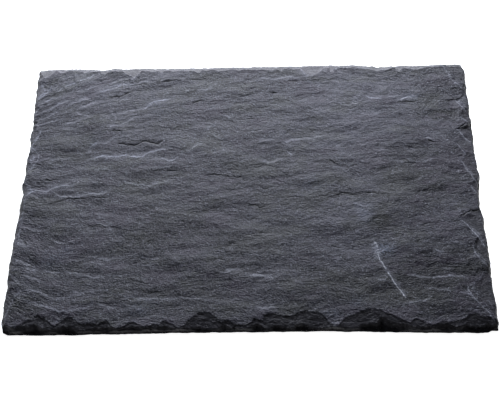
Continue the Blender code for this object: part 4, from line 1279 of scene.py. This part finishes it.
@dataclass(frozen=True)
class Site:
    """Where a point of the blank lies, in millimetres, and what the tree reads there."""

    bench: Bench
    inputs: Mapping[str, Wire]
    x: Wire  # place along the slab
    y: Wire  # place across the slab
    height: Wire
    across: Wire  # place across the grain
    seed: Wire  # offset of the noise

    @classmethod
    def read(cls, bench: Bench, inputs: Mapping[str, Wire], stride: float) -> Site:
        """Read the blank's points.

        Args:
            bench: the tree's bench.
            inputs: the group's inputs, by name.
            stride: distance that one step of the seed moves the noise.

        Returns:
            The site.
        """
        spot = bench.split(bench.node("GeometryNodeInputPosition"))
        x, y, height = (value / METRE for value in spot)
        across = bench.split(bench.attribute("grain", "FLOAT_VECTOR"))[1] / METRE
        return cls(bench, inputs, x, y, height, across, inputs["Seed"] * stride)

    def noise(self, cells: Cells, other: Wire) -> Wire:
        """Read one noise.

        Args:
            cells: its size and character.
            other: place across the slab, or across the grain.

        Returns:
            The noise, between 0 and 1.
        """
        length, width = (self.inputs.get(size, size) for size in (cells.length, cells.width))
        place = self.bench.vector(self.x / length, other / width, self.seed + cells.offset)
        return self.bench.noise(place, 1.0, cells.detail, cells.rough)

    def inward(self, edge: Edge) -> Wire:
        """Distance inwards from one edge."""
        return self.bench.attribute(f"inward_{edge.name.lower()}")

    def inland(self, edge: Edge, low: float, high: float) -> Wire:
        """0 along one edge, easing to 1 between two distances from it."""
        return self.inward(edge).eased(low, high)


@dataclass
class StoneTree:
    """The Geometry Nodes tree that turns the blank slab into riven, chipped stone."""

    name: str = "Riven stone"
    sizes: Mapping[str, float] = field(
        default_factory=lambda: {
            "Thickness": 5.9,
            "Foot": 0.8,
            "Rim Slope": 2.6,
            "Front Slope": 5.5,
            "Shelf Step": 0.32,
            "Shelf Slope": 0.19,
            "Bevel Run": 3.0,
            "Bevel Lip": 3.9,
            "Back Run": 5.8,
            "Back Lip": 1.2,
            "Ripple Height": 0.42,
            "Ripple Length": 9.5,
            "Ripple Pitch": 3.6,
            "Layer Step": 0.20,
            "Layer Length": 27.0,
            "Layer Width": 11.0,
            "Rim Grit": 0.35,
            "Underside Relief": 0.9,
        }
    )  # millimetres, but for the slopes
    seed: int = 7
    seed_stride: float = 13.7
    ripples: Cells = Cells("Ripple Length", "Ripple Pitch", 0.0, 3, 0.55)
    layers: Cells = Cells("Layer Length", "Layer Width", 31.0, 4, 0.62)
    flakes: Cells = Cells(52.0, 21.0, 77.0, 4, 0.6)
    pores: Cells = Cells(14.0, 4.0, 90.0, 2, 0.5)
    fray: Cells = Cells(5.2, 5.2, 0.0, 4, 0.62)
    spread: Cells = Cells(7.0, 7.0, 5.0, 1, 0.5)
    grit: Cells = Cells(3.0, 1.7, 11.0, 3, 0.6)
    rim_light_noise: Cells = Cells(4.0, 2.0, 3.0, 2, 0.6)
    fray_reach: float = 3.0  # how far the fray moves the rim in and out
    fray_height: float = 0.8  # and up and down
    fray_sway: float = 2.0  # how far it lifts and lowers the treads
    tread: float = 0.7  # thickness of the layers that show in the rim
    tread_share: float = 0.4  # how much of the rim's height follows them

    def build(self) -> bpy.types.NodeTree:
        """Write the tree.

        Returns:
            The node group, ready for a modifier.
        """
        tree = bpy.data.node_groups.new(self.name, "GeometryNodeTree")
        face = tree.interface
        face.new_socket("Geometry", in_out="OUTPUT", socket_type="NodeSocketGeometry")
        face.new_socket("Geometry", in_out="INPUT", socket_type="NodeSocketGeometry")
        for name, value in self.sizes.items():
            socket = face.new_socket(name, in_out="INPUT", socket_type="NodeSocketFloat")
            socket.default_value = value
        face.new_socket("Seed", in_out="INPUT", socket_type="NodeSocketInt")
        face.new_socket("Chips", in_out="INPUT", socket_type="NodeSocketObject")
        face.new_socket("Material", in_out="INPUT", socket_type="NodeSocketMaterial")
        bench = Bench(tree)
        source = bench.raw("NodeGroupInput")
        inputs = {socket.name: Wire(bench, socket) for socket in source.outputs if socket.name}
        self.wire(bench, inputs)
        return tree

    def wire(self, bench: Bench, inputs: Mapping[str, Wire]) -> None:
        """Lay out the tree from its inputs to its output.

        Args:
            bench: the tree's bench.
            inputs: the group's inputs, by name.
        """
        site = Site.read(bench, inputs, self.seed_stride)
        top, under = bench.attribute("top"), bench.attribute("under")
        split_face = self.split_face(site)
        rim = self.rim(site, split_face)
        raised, hollow = split_face.minimum(rim), self.underside(site)
        level = raised * top + hollow * under + site.height * (1.0 - top - under)
        place = bench.vector(site.x * METRE, site.y * METRE, level * METRE)
        dressed = bench.node(
            "GeometryNodeSetPosition",
            sockets={"Geometry": inputs["Geometry"], "Position": place},
        )
        for name, value in self.marks(site, split_face - rim, level, top).items():
            dressed = self.store(bench, dressed, name, value)
        dressed = bench.node("GeometryNodeRealizeInstances", sockets={"Geometry": dressed})
        dressed = bench.node(
            "GeometryNodeSetMaterial",
            sockets={"Geometry": dressed, "Material": inputs["Material"]},
        )
        bench.raw("NodeGroupOutput", sockets={"Geometry": dressed})

    def marks(self, site: Site, cut: Wire, level: Wire, top: Wire) -> dict[str, Wire]:
        """Work out what the finish reads on the points.

        Args:
            site: the point.
            cut: how deep the rim is cut below the split face.
            level: height of the stone.
            top: 1 on the top and 0 below it.

        Returns:
            How far the point is a broken scar (with painted shade at the front edge), a painted
            rim highlight, painted bevel light and painted shade low on the rim, by name.
        """
        front = site.inland(Edge.FRONT, 11.0, 17.0)
        back = 1.0 - site.inland(Edge.BACK, 6.0, 15.0)
        right = 1.0 - site.inland(Edge.RIGHT, 8.0, 18.0)
        # painted highlight along the rims of the chips, held off along the front edge and weaker
        # on the right, where edges face away from the lamp
        wear = (1.0 - cut.eased(0.0, 0.40)) * cut.eased(-0.45, 0.0) * (0.1 + 0.9 * front)
        # painted light on the back bevel and the side bevels, more on the left and less towards
        # the front, where the lamp at the back left falls
        rim_light_noise = 0.45 + 1.1 * site.noise(self.rim_light_noise, site.y)
        bevel_light = 0.6 * (1.0 - site.inland(Edge.BACK, 0.6, 2.2)) * rim_light_noise
        bevel_light = bevel_light + 0.32 * cut.eased(0.0, 0.9) * rim_light_noise
        aside = site.inland(Edge.RIGHT, 12.0, 18.0)
        sides = 0.13 * (1.0 - site.inland(Edge.LEFT, 4.0, 8.0))
        sides = sides + 0.07 * (1.0 - site.inland(Edge.RIGHT, 5.0, 14.0))
        bevel_light = bevel_light * back * aside + sides * cut.eased(0.0, 0.6) * (0.3 + 0.7 * front)
        return {
            # scar colour laid on more heavily along the front edge, as painted shade on scars
            # facing away from the lamp
            "scar": cut.eased(0.0, 0.3) * top * (1.0 - 0.55 * front),
            "wear": wear * top * (1.0 - 0.7 * right),
            "dust": bevel_light * top,
            # painted shade low on the rim, left off near the back where the lamp falls
            "foot": (1.0 - level.eased(2.6, 4.0)) * (1.0 - back),
        }

    @staticmethod
    def store(bench: Bench, geometry: Wire, name: str, value: Wire) -> Wire:
        """Keep a value on the points under a name.

        Args:
            bench: the tree's bench.
            geometry: the stone.
            name: name of the value.
            value: the value.

        Returns:
            The stone with the value.
        """
        settings = {"data_type": "FLOAT", "domain": "POINT"}
        sockets = {"Geometry": geometry, "Name": name, "Value": value}
        return bench.node("GeometryNodeStoreNamedAttribute", settings, sockets)

    def split_face(self, site: Site) -> Wire:
        """Height of the split face: swells, carved ledges, thin layers and ripples.

        Args:
            site: the point.

        Returns:
            The height in millimetres.
        """
        ripple = site.noise(self.ripples, site.across) - 0.5
        layers = (site.noise(self.layers, site.across) * 9.0).stepped(0.32, 0.68)
        return (
            site.inputs["Thickness"]
            + site.bench.attribute("swell")
            - site.bench.attribute("carved")
            + ripple * site.inputs["Ripple Height"]
            + (layers - 4.5) * site.inputs["Layer Step"]
        )

    def underside(self, site: Site) -> Wire:
        """Height of the underside: flat ground to lie on, with shallow lost flakes.

        Args:
            site: the point.

        Returns:
            The height in millimetres, never below the ground.
        """
        layers = (site.noise(self.flakes, site.across) * 7.0).stepped(0.3, 0.7)
        fine = site.noise(self.pores, site.across) - 0.5
        hollow = (layers - 3.0) * 0.3 + fine * 0.4
        return hollow.maximum(0.0) * site.inputs["Underside Relief"]

    def rim(self, site: Site, face: Wire) -> Wire:
        """Greatest height that the broken rim and its chips leave.

        Args:
            site: the point.
            face: height of the split face.

        Returns:
            The height in millimetres.
        """
        inputs = site.inputs
        ragged = site.noise(self.fray, site.y) - 0.5
        spread = 0.6 + 0.8 * site.noise(self.spread, site.y)
        bare = {edge: site.inward(edge) for edge in Edge}
        inward = {edge: distance + ragged * self.fray_reach for edge, distance in bare.items()}
        height = self.shelves(site, face, bare[Edge.FRONT], ragged)
        for edge, distance in inward.items():
            slope = inputs["Front Slope" if edge is Edge.FRONT else "Rim Slope"]
            wall = inputs["Foot"] + slope * distance.maximum(0.0) + ragged * self.fray_height
            height = height.minimum(wall)
            if edge is not Edge.FRONT:
                name = "Back" if edge is Edge.BACK else "Bevel"
                run = inputs[f"{name} Run"] * spread
                bevel = self.bowl(distance, run, inputs[f"{name} Lip"], inputs["Thickness"], 0.0)
                height = height.minimum(bevel)
        height = self.chips(site, height, list(inward.values()))
        grit = site.noise(self.grit, site.across) - 0.5
        rough = height + grit * inputs["Rim Grit"]
        sway = ragged * self.fray_sway
        treads = ((rough + sway) / self.tread).stepped(0.2, 0.8) * self.tread - sway
        return rough * (1.0 - self.tread_share) + treads * self.tread_share

    @staticmethod
    def shelves(site: Site, face: Wire, inward: Wire, ragged: Wire) -> Wire:
        """Height that the two broken layers of the front edge leave.

        Args:
            site: the point.
            face: height of the split face.
            inward: distance from the front edge.
            ragged: noise that frays the layers' ends.

        Returns:
            The height, which rises above the face away from the scars.
        """
        height = face
        for level, steeper in ((0, 1.0), (1, 2.5)):
            past = site.bench.attribute(f"shelf_{level}") - inward + ragged * 1.4
            height = height - past.eased(0.0, 0.4) * site.inputs["Shelf Step"]
            height = height - past.maximum(0.0) * site.inputs["Shelf Slope"] * steeper
            if level == 0:
                height = height + (-past).maximum(0.0) * 0.6
        return height

    @staticmethod
    def bowl(inward: Wire, reach: Wire, lip: Wire, top: Wire, riser: Any) -> Wire:
        """Height that one scar leaves.

        Args:
            inward: distance from the edge.
            reach: how far the scar runs in.
            lip: height at the edge.
            top: height of the split face.
            riser: share of the rise that is a steep step at the scar's inner boundary.

        Returns:
            The height over the scar's reach, and one far above the slab beyond it.
        """
        share = (inward / reach.maximum(0.01)).held()
        step = inward.eased(reach - 0.9, reach)
        climb = share**1.25 * (1.0 - riser) + step * riser
        return lip + (top - lip) * climb + (reach < inward) * 100.0

    def chips(self, site: Site, height: Wire, inward: Sequence[Wire]) -> Wire:
        """Strike every chip off the rim, one in each turn of a Repeat Zone.

        Args:
            site: the point.
            height: what the bevel leaves.
            inward: distance from each edge.

        Returns:
            What the chips leave.
        """
        bench, inputs = site.bench, site.inputs
        helper = {"Object": inputs["Chips"]}
        table = bench.node("GeometryNodeObjectInfo", sockets=helper, output="Geometry")
        count = bench.node(
            "GeometryNodeAttributeDomainSize", {"component": "MESH"}, {"Geometry": table}
        )
        last = bench.raw("GeometryNodeRepeatOutput")
        first = bench.raw("GeometryNodeRepeatInput")
        first.pair_with_output(last)
        last.repeat_items.clear()
        last.repeat_items.new("FLOAT", "Height")
        bench.feed(first.inputs["Iterations"], count)
        bench.feed(first.inputs["Height"], height)
        turn = Wire(bench, first.outputs["Iteration"])
        chip = {name: self.sample(bench, table, name, turn) for name in ChipTable.COLUMNS}
        pick = bench.raw("GeometryNodeIndexSwitch", {"data_type": "FLOAT"})
        while len(pick.index_switch_items) < len(inward):
            pick.index_switch_items.new()
        bench.feed(pick.inputs[0], chip["edge"])
        for number, distance in enumerate(inward):
            bench.feed(pick.inputs[1 + number], distance)
        distance = Wire(bench, pick.outputs[0])
        sideways = 1.0 - (chip["edge"] < 1.5)
        along = site.x + (site.y - site.x) * sideways - chip["peak"]
        run = (-(along / chip["before"])).maximum(along / chip["after"])
        reach = chip["depth"] * (1.0 - run.held() ** chip["bow"])
        scar = self.bowl(distance, reach, chip["lip"], inputs["Thickness"], chip["riser"])
        bench.feed(last.inputs["Height"], Wire(bench, first.outputs["Height"]).minimum(scar))
        return Wire(bench, last.outputs["Height"])

    @staticmethod
    def sample(bench: Bench, table: Wire, name: str, turn: Wire) -> Wire:
        """Read one column of the chip table at one chip.

        Args:
            bench: the tree's bench.
            table: the table.
            name: name of the column.
            turn: number of the chip.

        Returns:
            The column's value there.
        """
        settings = {"data_type": "FLOAT", "domain": "POINT"}
        sockets = {"Geometry": table, "Value": bench.attribute(name), "Index": turn}
        return bench.node("GeometryNodeSampleIndex", settings, sockets)


@dataclass(frozen=True)
class ChipTable:
    """The chips of all four edges as a helper object: one point each, its sizes as attributes."""

    COLUMNS = ("edge", "riser", "peak", "before", "after", "depth", "lip", "bow")
    RISER = {Edge.BACK: 0.12, Edge.LEFT: 0.16, Edge.RIGHT: 0.16}

    def column(self, name: str) -> list[float]:
        """List one column, chip by chip.

        Args:
            name: name of the column.

        Returns:
            Its values.
        """
        fixed = {"edge": lambda edge: float(edge.value), "riser": self.RISER.get}
        return [
            fixed[name](edge) if name in fixed else getattr(chip, name)
            for edge, chips in CHIPS.items()
            for chip in chips
        ]

    def build(self) -> bpy.types.Object:
        """Make the helper.

        Returns:
            The object, to be removed once the slab is made.
        """
        data = bpy.data.meshes.new("chips")
        data.from_pydata([(0.0, 0.0, 0.0)] * len(self.column("edge")), [], [])
        for name in self.COLUMNS:
            layer = data.attributes.new(name, "FLOAT", "POINT")
            layer.data.foreach_set("value", self.column(name))
        return placed("chips", data)


@dataclass(frozen=True)
class Lattice:
    """Points over the slab's rectangle, closer together along its edges, and their triangles."""

    half_x: float
    half_y: float
    band: float = 14.0  # width of the closely divided band
    first: float = 0.26  # spacing at the very edge
    last: float = 0.72  # spacing at the inner side of the band
    along: float = 0.62  # spacing along an edge
    cell_x: float = 1.7
    cell_y: float = 0.95

    def graded(self) -> np.ndarray:
        """Space out places between an edge and the inner side of its band.

        Returns:
            Their distances from the edge, closest together at the edge itself.
        """
        steps = [0.0]
        while steps[-1] < self.band:
            steps.append(steps[-1] + self.first + (self.last - self.first) * steps[-1] / self.band)
        return np.array(steps) * self.band / steps[-1]

    @staticmethod
    def even(low: float, high: float, cell: float) -> np.ndarray:
        """Evenly spaced places strictly between two ends."""
        return np.linspace(low, high, round((high - low) / cell) + 1)[1:-1]

    @staticmethod
    def product(x: np.ndarray, y: np.ndarray, stagger: float = 0.0) -> np.ndarray:
        """Pair two sets of places.

        Args:
            x: places along the long side.
            y: places along the short side.
            stagger: how far every other row is moved along.

        Returns:
            A point for every pair.
        """
        points = np.stack(np.meshgrid(x, y), -1)
        points[1::2, :, 0] += stagger
        return points.reshape(-1, 2)

    def points(self) -> np.ndarray:
        """Lay out the lattice.

        Returns:
            All its points.
        """
        near = self.graded()
        inner_x, inner_y = self.half_x - self.band, self.half_y - self.band
        left, right = near - self.half_x, self.half_x - near
        front, back = near - self.half_y, self.half_y - near
        along_x = self.even(-inner_x, inner_x, self.along)
        along_y = self.even(-inner_y, inner_y, self.along)
        parts = [self.product(x, y) for x in (left, right) for y in (front, back)]
        parts += [self.product(along_x, y) for y in (front, back)]
        parts += [self.product(x, along_y) for x in (left, right)]
        middle_x = self.even(-inner_x, inner_x - self.cell_x / 2, self.cell_x)
        middle_y = self.even(-inner_y, inner_y, self.cell_y)
        parts.append(self.product(middle_x, middle_y, self.cell_x / 2))
        return np.concatenate(parts)

    @staticmethod
    def triangles(points: np.ndarray) -> np.ndarray:
        """Join the points in Delaunay triangles.

        Args:
            points: the lattice's points.

        Returns:
            The triangles, anticlockwise from above.
        """
        found = delaunay_2d_cdt([Vector(point) for point in points], [], [], 0, 1e-7)
        assert len(found[0]) == len(points), "two lattice points coincide"
        return np.array(found[2])

    def border(self, points: np.ndarray) -> np.ndarray:
        """Find the points on the border.

        Args:
            points: the lattice's points.

        Returns:
            Their numbers, anticlockwise from the front left corner.
        """
        x, y = points[:, 0], points[:, 1]
        near = 1e-6  # points this close to the rectangle lie on it
        front = np.flatnonzero(y < near - self.half_y)
        right = np.flatnonzero((x > self.half_x - near) & (np.abs(y) < self.half_y - near))
        back = np.flatnonzero(y > self.half_y - near)
        left = np.flatnonzero((x < near - self.half_x) & (np.abs(y) < self.half_y - near))
        return np.concatenate(
            [
                front[np.argsort(x[front])],
                right[np.argsort(y[right])],
                back[np.argsort(-x[back])],
                left[np.argsort(-y[left])],
            ]
        )


@dataclass
class SlateSlab:
    """The slab itself: its blank, its stone tree and its finish."""

    outline: Outline = field(default_factory=Outline)
    face: RivenFace = field(default_factory=RivenFace)
    stone: StoneTree = field(default_factory=StoneTree)
    finish: SlateFinish = field(default_factory=SlateFinish)
    name: str = "slate_slab_stone"
    under_cell: float = 3.0
    rim_rings: tuple[tuple[float, float], ...] = ((0.42, 0.05), (0.0, 0.3))  # height, inset
    scar_lines: tuple[float, ...] = (0.2, 0.16)  # strength of the line along each broken layer
    sharp_angle: float = 62.0  # degrees between faces from which an edge stays sharp

    def blank(self) -> bpy.types.Object:
        """Make the flat blank: a fine top, the rim's rings and a coarser underside.

        Returns:
            The blank, with the attributes that the stone tree and the finish read.
        """
        lattice = Lattice(self.outline.length / 2, self.outline.depth / 2)
        flat = lattice.points()
        x, y = self.outline.follow(flat[:, 0], flat[:, 1])
        ring = lattice.border(flat)
        edge_x, edge_y = x[ring], y[ring]
        points = [np.stack([x, y, np.full_like(x, self.stone.sizes["Thickness"])], -1)]
        faces = lattice.triangles(flat).tolist()
        total = len(flat)
        for height, inset in self.rim_rings:
            points.append(self.ring(edge_x, edge_y, height, inset))
            below = np.arange(total, total + len(ring))
            faces += np.stack([np.roll(ring, -1), ring, below, np.roll(below, -1)], -1).tolist()
            ring = below
            total += len(ring)
        inside, triangles = self.underside(points[-1][:, :2])
        points.append(np.pad(inside, ((0, 0), (0, 1))))
        numbers = np.concatenate([ring, np.arange(total, total + len(inside))])
        faces += numbers[triangles].tolist()
        return self.blank_object(np.concatenate(points), faces, len(flat), len(ring))

    def ring(self, x: np.ndarray, y: np.ndarray, height: float, inset: float) -> np.ndarray:
        """Draw the border in to one ring of the rim.

        Args:
            x: the border's points.
            y: the border's points.
            height: the ring's height.
            inset: how far it is drawn in.

        Returns:
            The ring's points.
        """
        half_x, half_y = self.outline.length / 2, self.outline.depth / 2
        return np.stack(
            [x * (1 - inset / half_x), y * (1 - inset / half_y), np.full_like(x, height)], -1
        )

    def underside(self, border: np.ndarray) -> tuple[np.ndarray, np.ndarray]:
        """Fill the underside within its border.

        Args:
            border: the border's points in order.

        Returns:
            The points inside, and triangles over the border's points followed by them.
        """
        half_x = self.outline.length / 2 - self.under_cell
        half_y = self.outline.depth / 2 - self.under_cell
        inside = Lattice.product(
            np.arange(-half_x, half_x - self.under_cell, self.under_cell),
            np.arange(-half_y, half_y, self.under_cell * 0.8),
            self.under_cell / 2,
        )
        corners = [Vector(point) for point in np.concatenate([border, inside])]
        count = len(border)
        edges = [(number, (number + 1) % count) for number in range(count)]
        found = delaunay_2d_cdt(corners, edges, [], 1, 1e-6)
        assert len(found[0]) == len(corners), "the underside's points moved"
        return inside, np.array(found[2])[:, ::-1]

    def blank_object(
        self, points: np.ndarray, faces: list[list[int]], top_count: int, ring_count: int
    ) -> bpy.types.Object:
        """Write the blank's mesh and its attributes.

        Args:
            points: all points, in millimetres.
            faces: all faces.
            top_count: number of points in the top.
            ring_count: number of points in each ring.

        Returns:
            The blank.
        """
        data = bpy.data.meshes.new(self.name)
        data.from_pydata((points * METRE).tolist(), [], faces)
        x, y = points[:, 0], points[:, 1]
        order = np.arange(len(points))
        top = (order < top_count).astype(float)
        values = {
            "top": top,
            "under": (order >= top_count + ring_count * len(self.rim_rings)).astype(float),
            "swell": self.face.waves(self.face.swells, x, y),
            "bloom": self.face.patches(BLOOMS, x, y) * top,
            "shade": self.face.patches(SHADES, x, y) * top,
        }
        values |= self.face.lowered(x, y)
        values |= self.front_scars(x, y, values)
        for kind in RivenFace.KINDS:
            values[f"{kind}_power"] *= top
        for edge in Edge:
            values[f"inward_{edge.name.lower()}"] = self.outline.inward(edge, x, y)
        for name, column in values.items():
            data.attributes.new(name, "FLOAT", "POINT").data.foreach_set("value", column)
        grain = np.stack([x, self.face.grain(x, y), points[:, 2]], -1) * METRE
        data.attributes.new("grain", "FLOAT_VECTOR", "POINT").data.foreach_set(
            "vector", grain.ravel()
        )
        return placed(self.name, data)

    def front_scars(
        self, x: np.ndarray, y: np.ndarray, values: Mapping[str, np.ndarray]
    ) -> dict[str, np.ndarray]:
        """Lay out the broken layers of the front edge and the painted shade lines along their
        ends.

        Args:
            x: points along the long side.
            y: points along the short side.
            values: what the face carries at every point.

        Returns:
            The reach of each layer, and the dark lines' distance and strength with them.
        """
        gap, power = values["dark_gap"].copy(), values["dark_power"].copy()
        found = {}
        for level, strength in enumerate(self.scar_lines):
            reach = self.outline.shelf(level, x)
            rise = self.outline.shelf(level, x + 1.0) - self.outline.shelf(level, x - 1.0)
            away = 0.75 * (reach - y - self.outline.depth / 2)
            closer = np.abs(away) < np.abs(gap)
            gap[closer] = away[closer]
            power[closer] = strength * np.clip(0.45 + 0.4 * rise, 0.12, 1.0)[closer]
            found[f"shelf_{level}"] = reach + self.outline.offset(Edge.FRONT, x)
        return found | {"dark_gap": gap, "dark_power": power}

    def build(self) -> bpy.types.Object:
        """Make the finished slab.

        Returns:
            The piece, as a plain mesh at the origin.
        """
        blank, helper = self.blank(), ChipTable().build()
        tree = self.stone.build()
        grow = blank.modifiers.new("Stone", "NODES")
        grow.node_group = tree
        identifiers = {
            item.name: item.identifier
            for item in tree.interface.items_tree
            if getattr(item, "in_out", "") == "INPUT"
        }
        for name, value in self.stone.sizes.items():
            grow[identifiers[name]] = value
        grow[identifiers["Seed"]] = self.stone.seed
        grow[identifiers["Chips"]] = helper
        grow[identifiers["Material"]] = self.finish.material()
        graph = bpy.context.evaluated_depsgraph_get()
        data = bpy.data.meshes.new_from_object(
            blank.evaluated_get(graph), preserve_all_data_layers=True, depsgraph=graph
        )
        blank.modifiers.remove(grow)
        blank.data = data
        data.shade_smooth()
        data.set_sharp_from_angle(angle=math.radians(self.sharp_angle))
        bpy.data.objects.remove(helper, do_unlink=True)
        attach(blank, "root")
        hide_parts("slate_slab")
        return blank


# Studio


@dataclass(frozen=True)
class SoftBox:
    """A rectangular lamp that faces one point."""

    name: str
    place: tuple[float, float, float]
    target: tuple[float, float, float]
    width: float
    height: float
    power: float
    colour: tuple[float, float, float] = (1.0, 1.0, 1.0)

    def build(self) -> bpy.types.Object:
        """Hang the lamp.

        Returns:
            The lamp.
        """
        data = bpy.data.lights.new(self.name, "AREA")
        data.shape = "RECTANGLE"
        data.size, data.size_y = self.width, self.height
        data.energy = self.power
        data.color = self.colour
        lamp = placed(self.name, data)
        lamp.location = self.place
        towards = Vector(self.target) - Vector(self.place)
        lamp.rotation_euler = towards.to_track_quat("-Z", "Y").to_euler()
        return lamp


@dataclass(frozen=True)
class FloorFinish:
    """Matt white card with a glow that keeps the shadows on it faint."""

    colour: Colour = (0.94, 0.94, 0.94, 1.0)
    roughness: float = 0.9
    specular: float = 0.1
    glow: float = 0.97

    def material(self) -> bpy.types.Material:
        """Build the floor's material.

        Returns:
            The material.
        """
        material = bpy.data.materials.new("pale_floor")
        material.use_nodes = True
        inputs = material.node_tree.nodes["Principled BSDF"].inputs
        inputs["Base Color"].default_value = self.colour
        inputs["Roughness"].default_value = self.roughness
        inputs["Specular IOR Level"].default_value = self.specular
        inputs["Emission Color"].default_value = WHITE
        inputs["Emission Strength"].default_value = self.glow
        return material


@dataclass(frozen=True)
class Studio:
    """Pale floor, soft light and the camera, in metres."""

    floor_half: float = 4.0
    floor_drop: float = 0.0003
    floor_finish: FloorFinish = FloorFinish()
    sky: float = 0.06
    boxes: tuple[SoftBox, ...] = (
        SoftBox(
            name="back_softbox",
            place=(-0.07, 0.56, 0.30),
            target=(0.0, 0.0, 0.0),
            width=0.8,
            height=0.34,
            power=18.2,
            colour=(0.865, 0.905, 1.0),
        ),
    )
    camera_place: tuple[float, float, float] = (0.0191, -0.28341, 0.49376)
    camera_yaw: float = 0.06629
    camera_pitch: float = 1.06048  # below the horizon
    camera_roll: float = -0.06801
    camera_lens: float = 62.42
    camera_sensor: float = 36.0
    camera_clip: float = 0.01  # nothing nearer than this shows

    def floor(self) -> bpy.types.Object:
        """Lay the floor.

        Returns:
            The floor.
        """
        half, level = self.floor_half, -self.floor_drop
        data = bpy.data.meshes.new("floor")
        corners = ((-half, -half), (half, -half), (half, half), (-half, half))
        data.from_pydata([(x, y, level) for x, y in corners], [], [(0, 1, 2, 3)])
        data.materials.append(self.floor_finish.material())
        floor = placed("floor", data)
        return floor

    def world(self) -> None:
        """Fill the room with even pale light."""
        world = bpy.data.worlds.new("pale_room")
        world.use_nodes = True
        backdrop = world.node_tree.nodes["Background"]
        backdrop.inputs["Color"].default_value = WHITE
        backdrop.inputs["Strength"].default_value = self.sky
        bpy.context.scene.world = world

    def camera(self) -> bpy.types.Object:
        """Set up the camera.

        Returns:
            The camera.
        """
        data = bpy.data.cameras.new("camera")
        data.lens, data.sensor_width = self.camera_lens, self.camera_sensor
        data.clip_start = self.camera_clip
        camera = placed("camera", data)
        turn = (
            Matrix.Rotation(self.camera_yaw, 4, "Z")
            @ Matrix.Rotation(math.pi / 2 - self.camera_pitch, 4, "X")
            @ Matrix.Rotation(self.camera_roll, 4, "Z")
        )
        camera.matrix_world = Matrix.Translation(self.camera_place) @ turn
        bpy.context.scene.camera = camera
        return camera

    def build(self) -> None:
        """Set up the whole studio."""
        self.camera()
        self.floor()
        self.world()
        for box in self.boxes:
            box.build()
        bpy.context.scene.view_settings.view_transform = "Standard"


def main() -> None:
    """Build the studio and the slab."""
    logging.basicConfig(level=logging.INFO, format="%(name)s: %(message)s")
    Studio().build()
    slab = SlateSlab().build()
    slab.data.calc_loop_triangles()
    LOG.info("%s: %d triangles", slab.name, len(slab.data.loop_triangles))


if __name__ == "__main__":
    main()
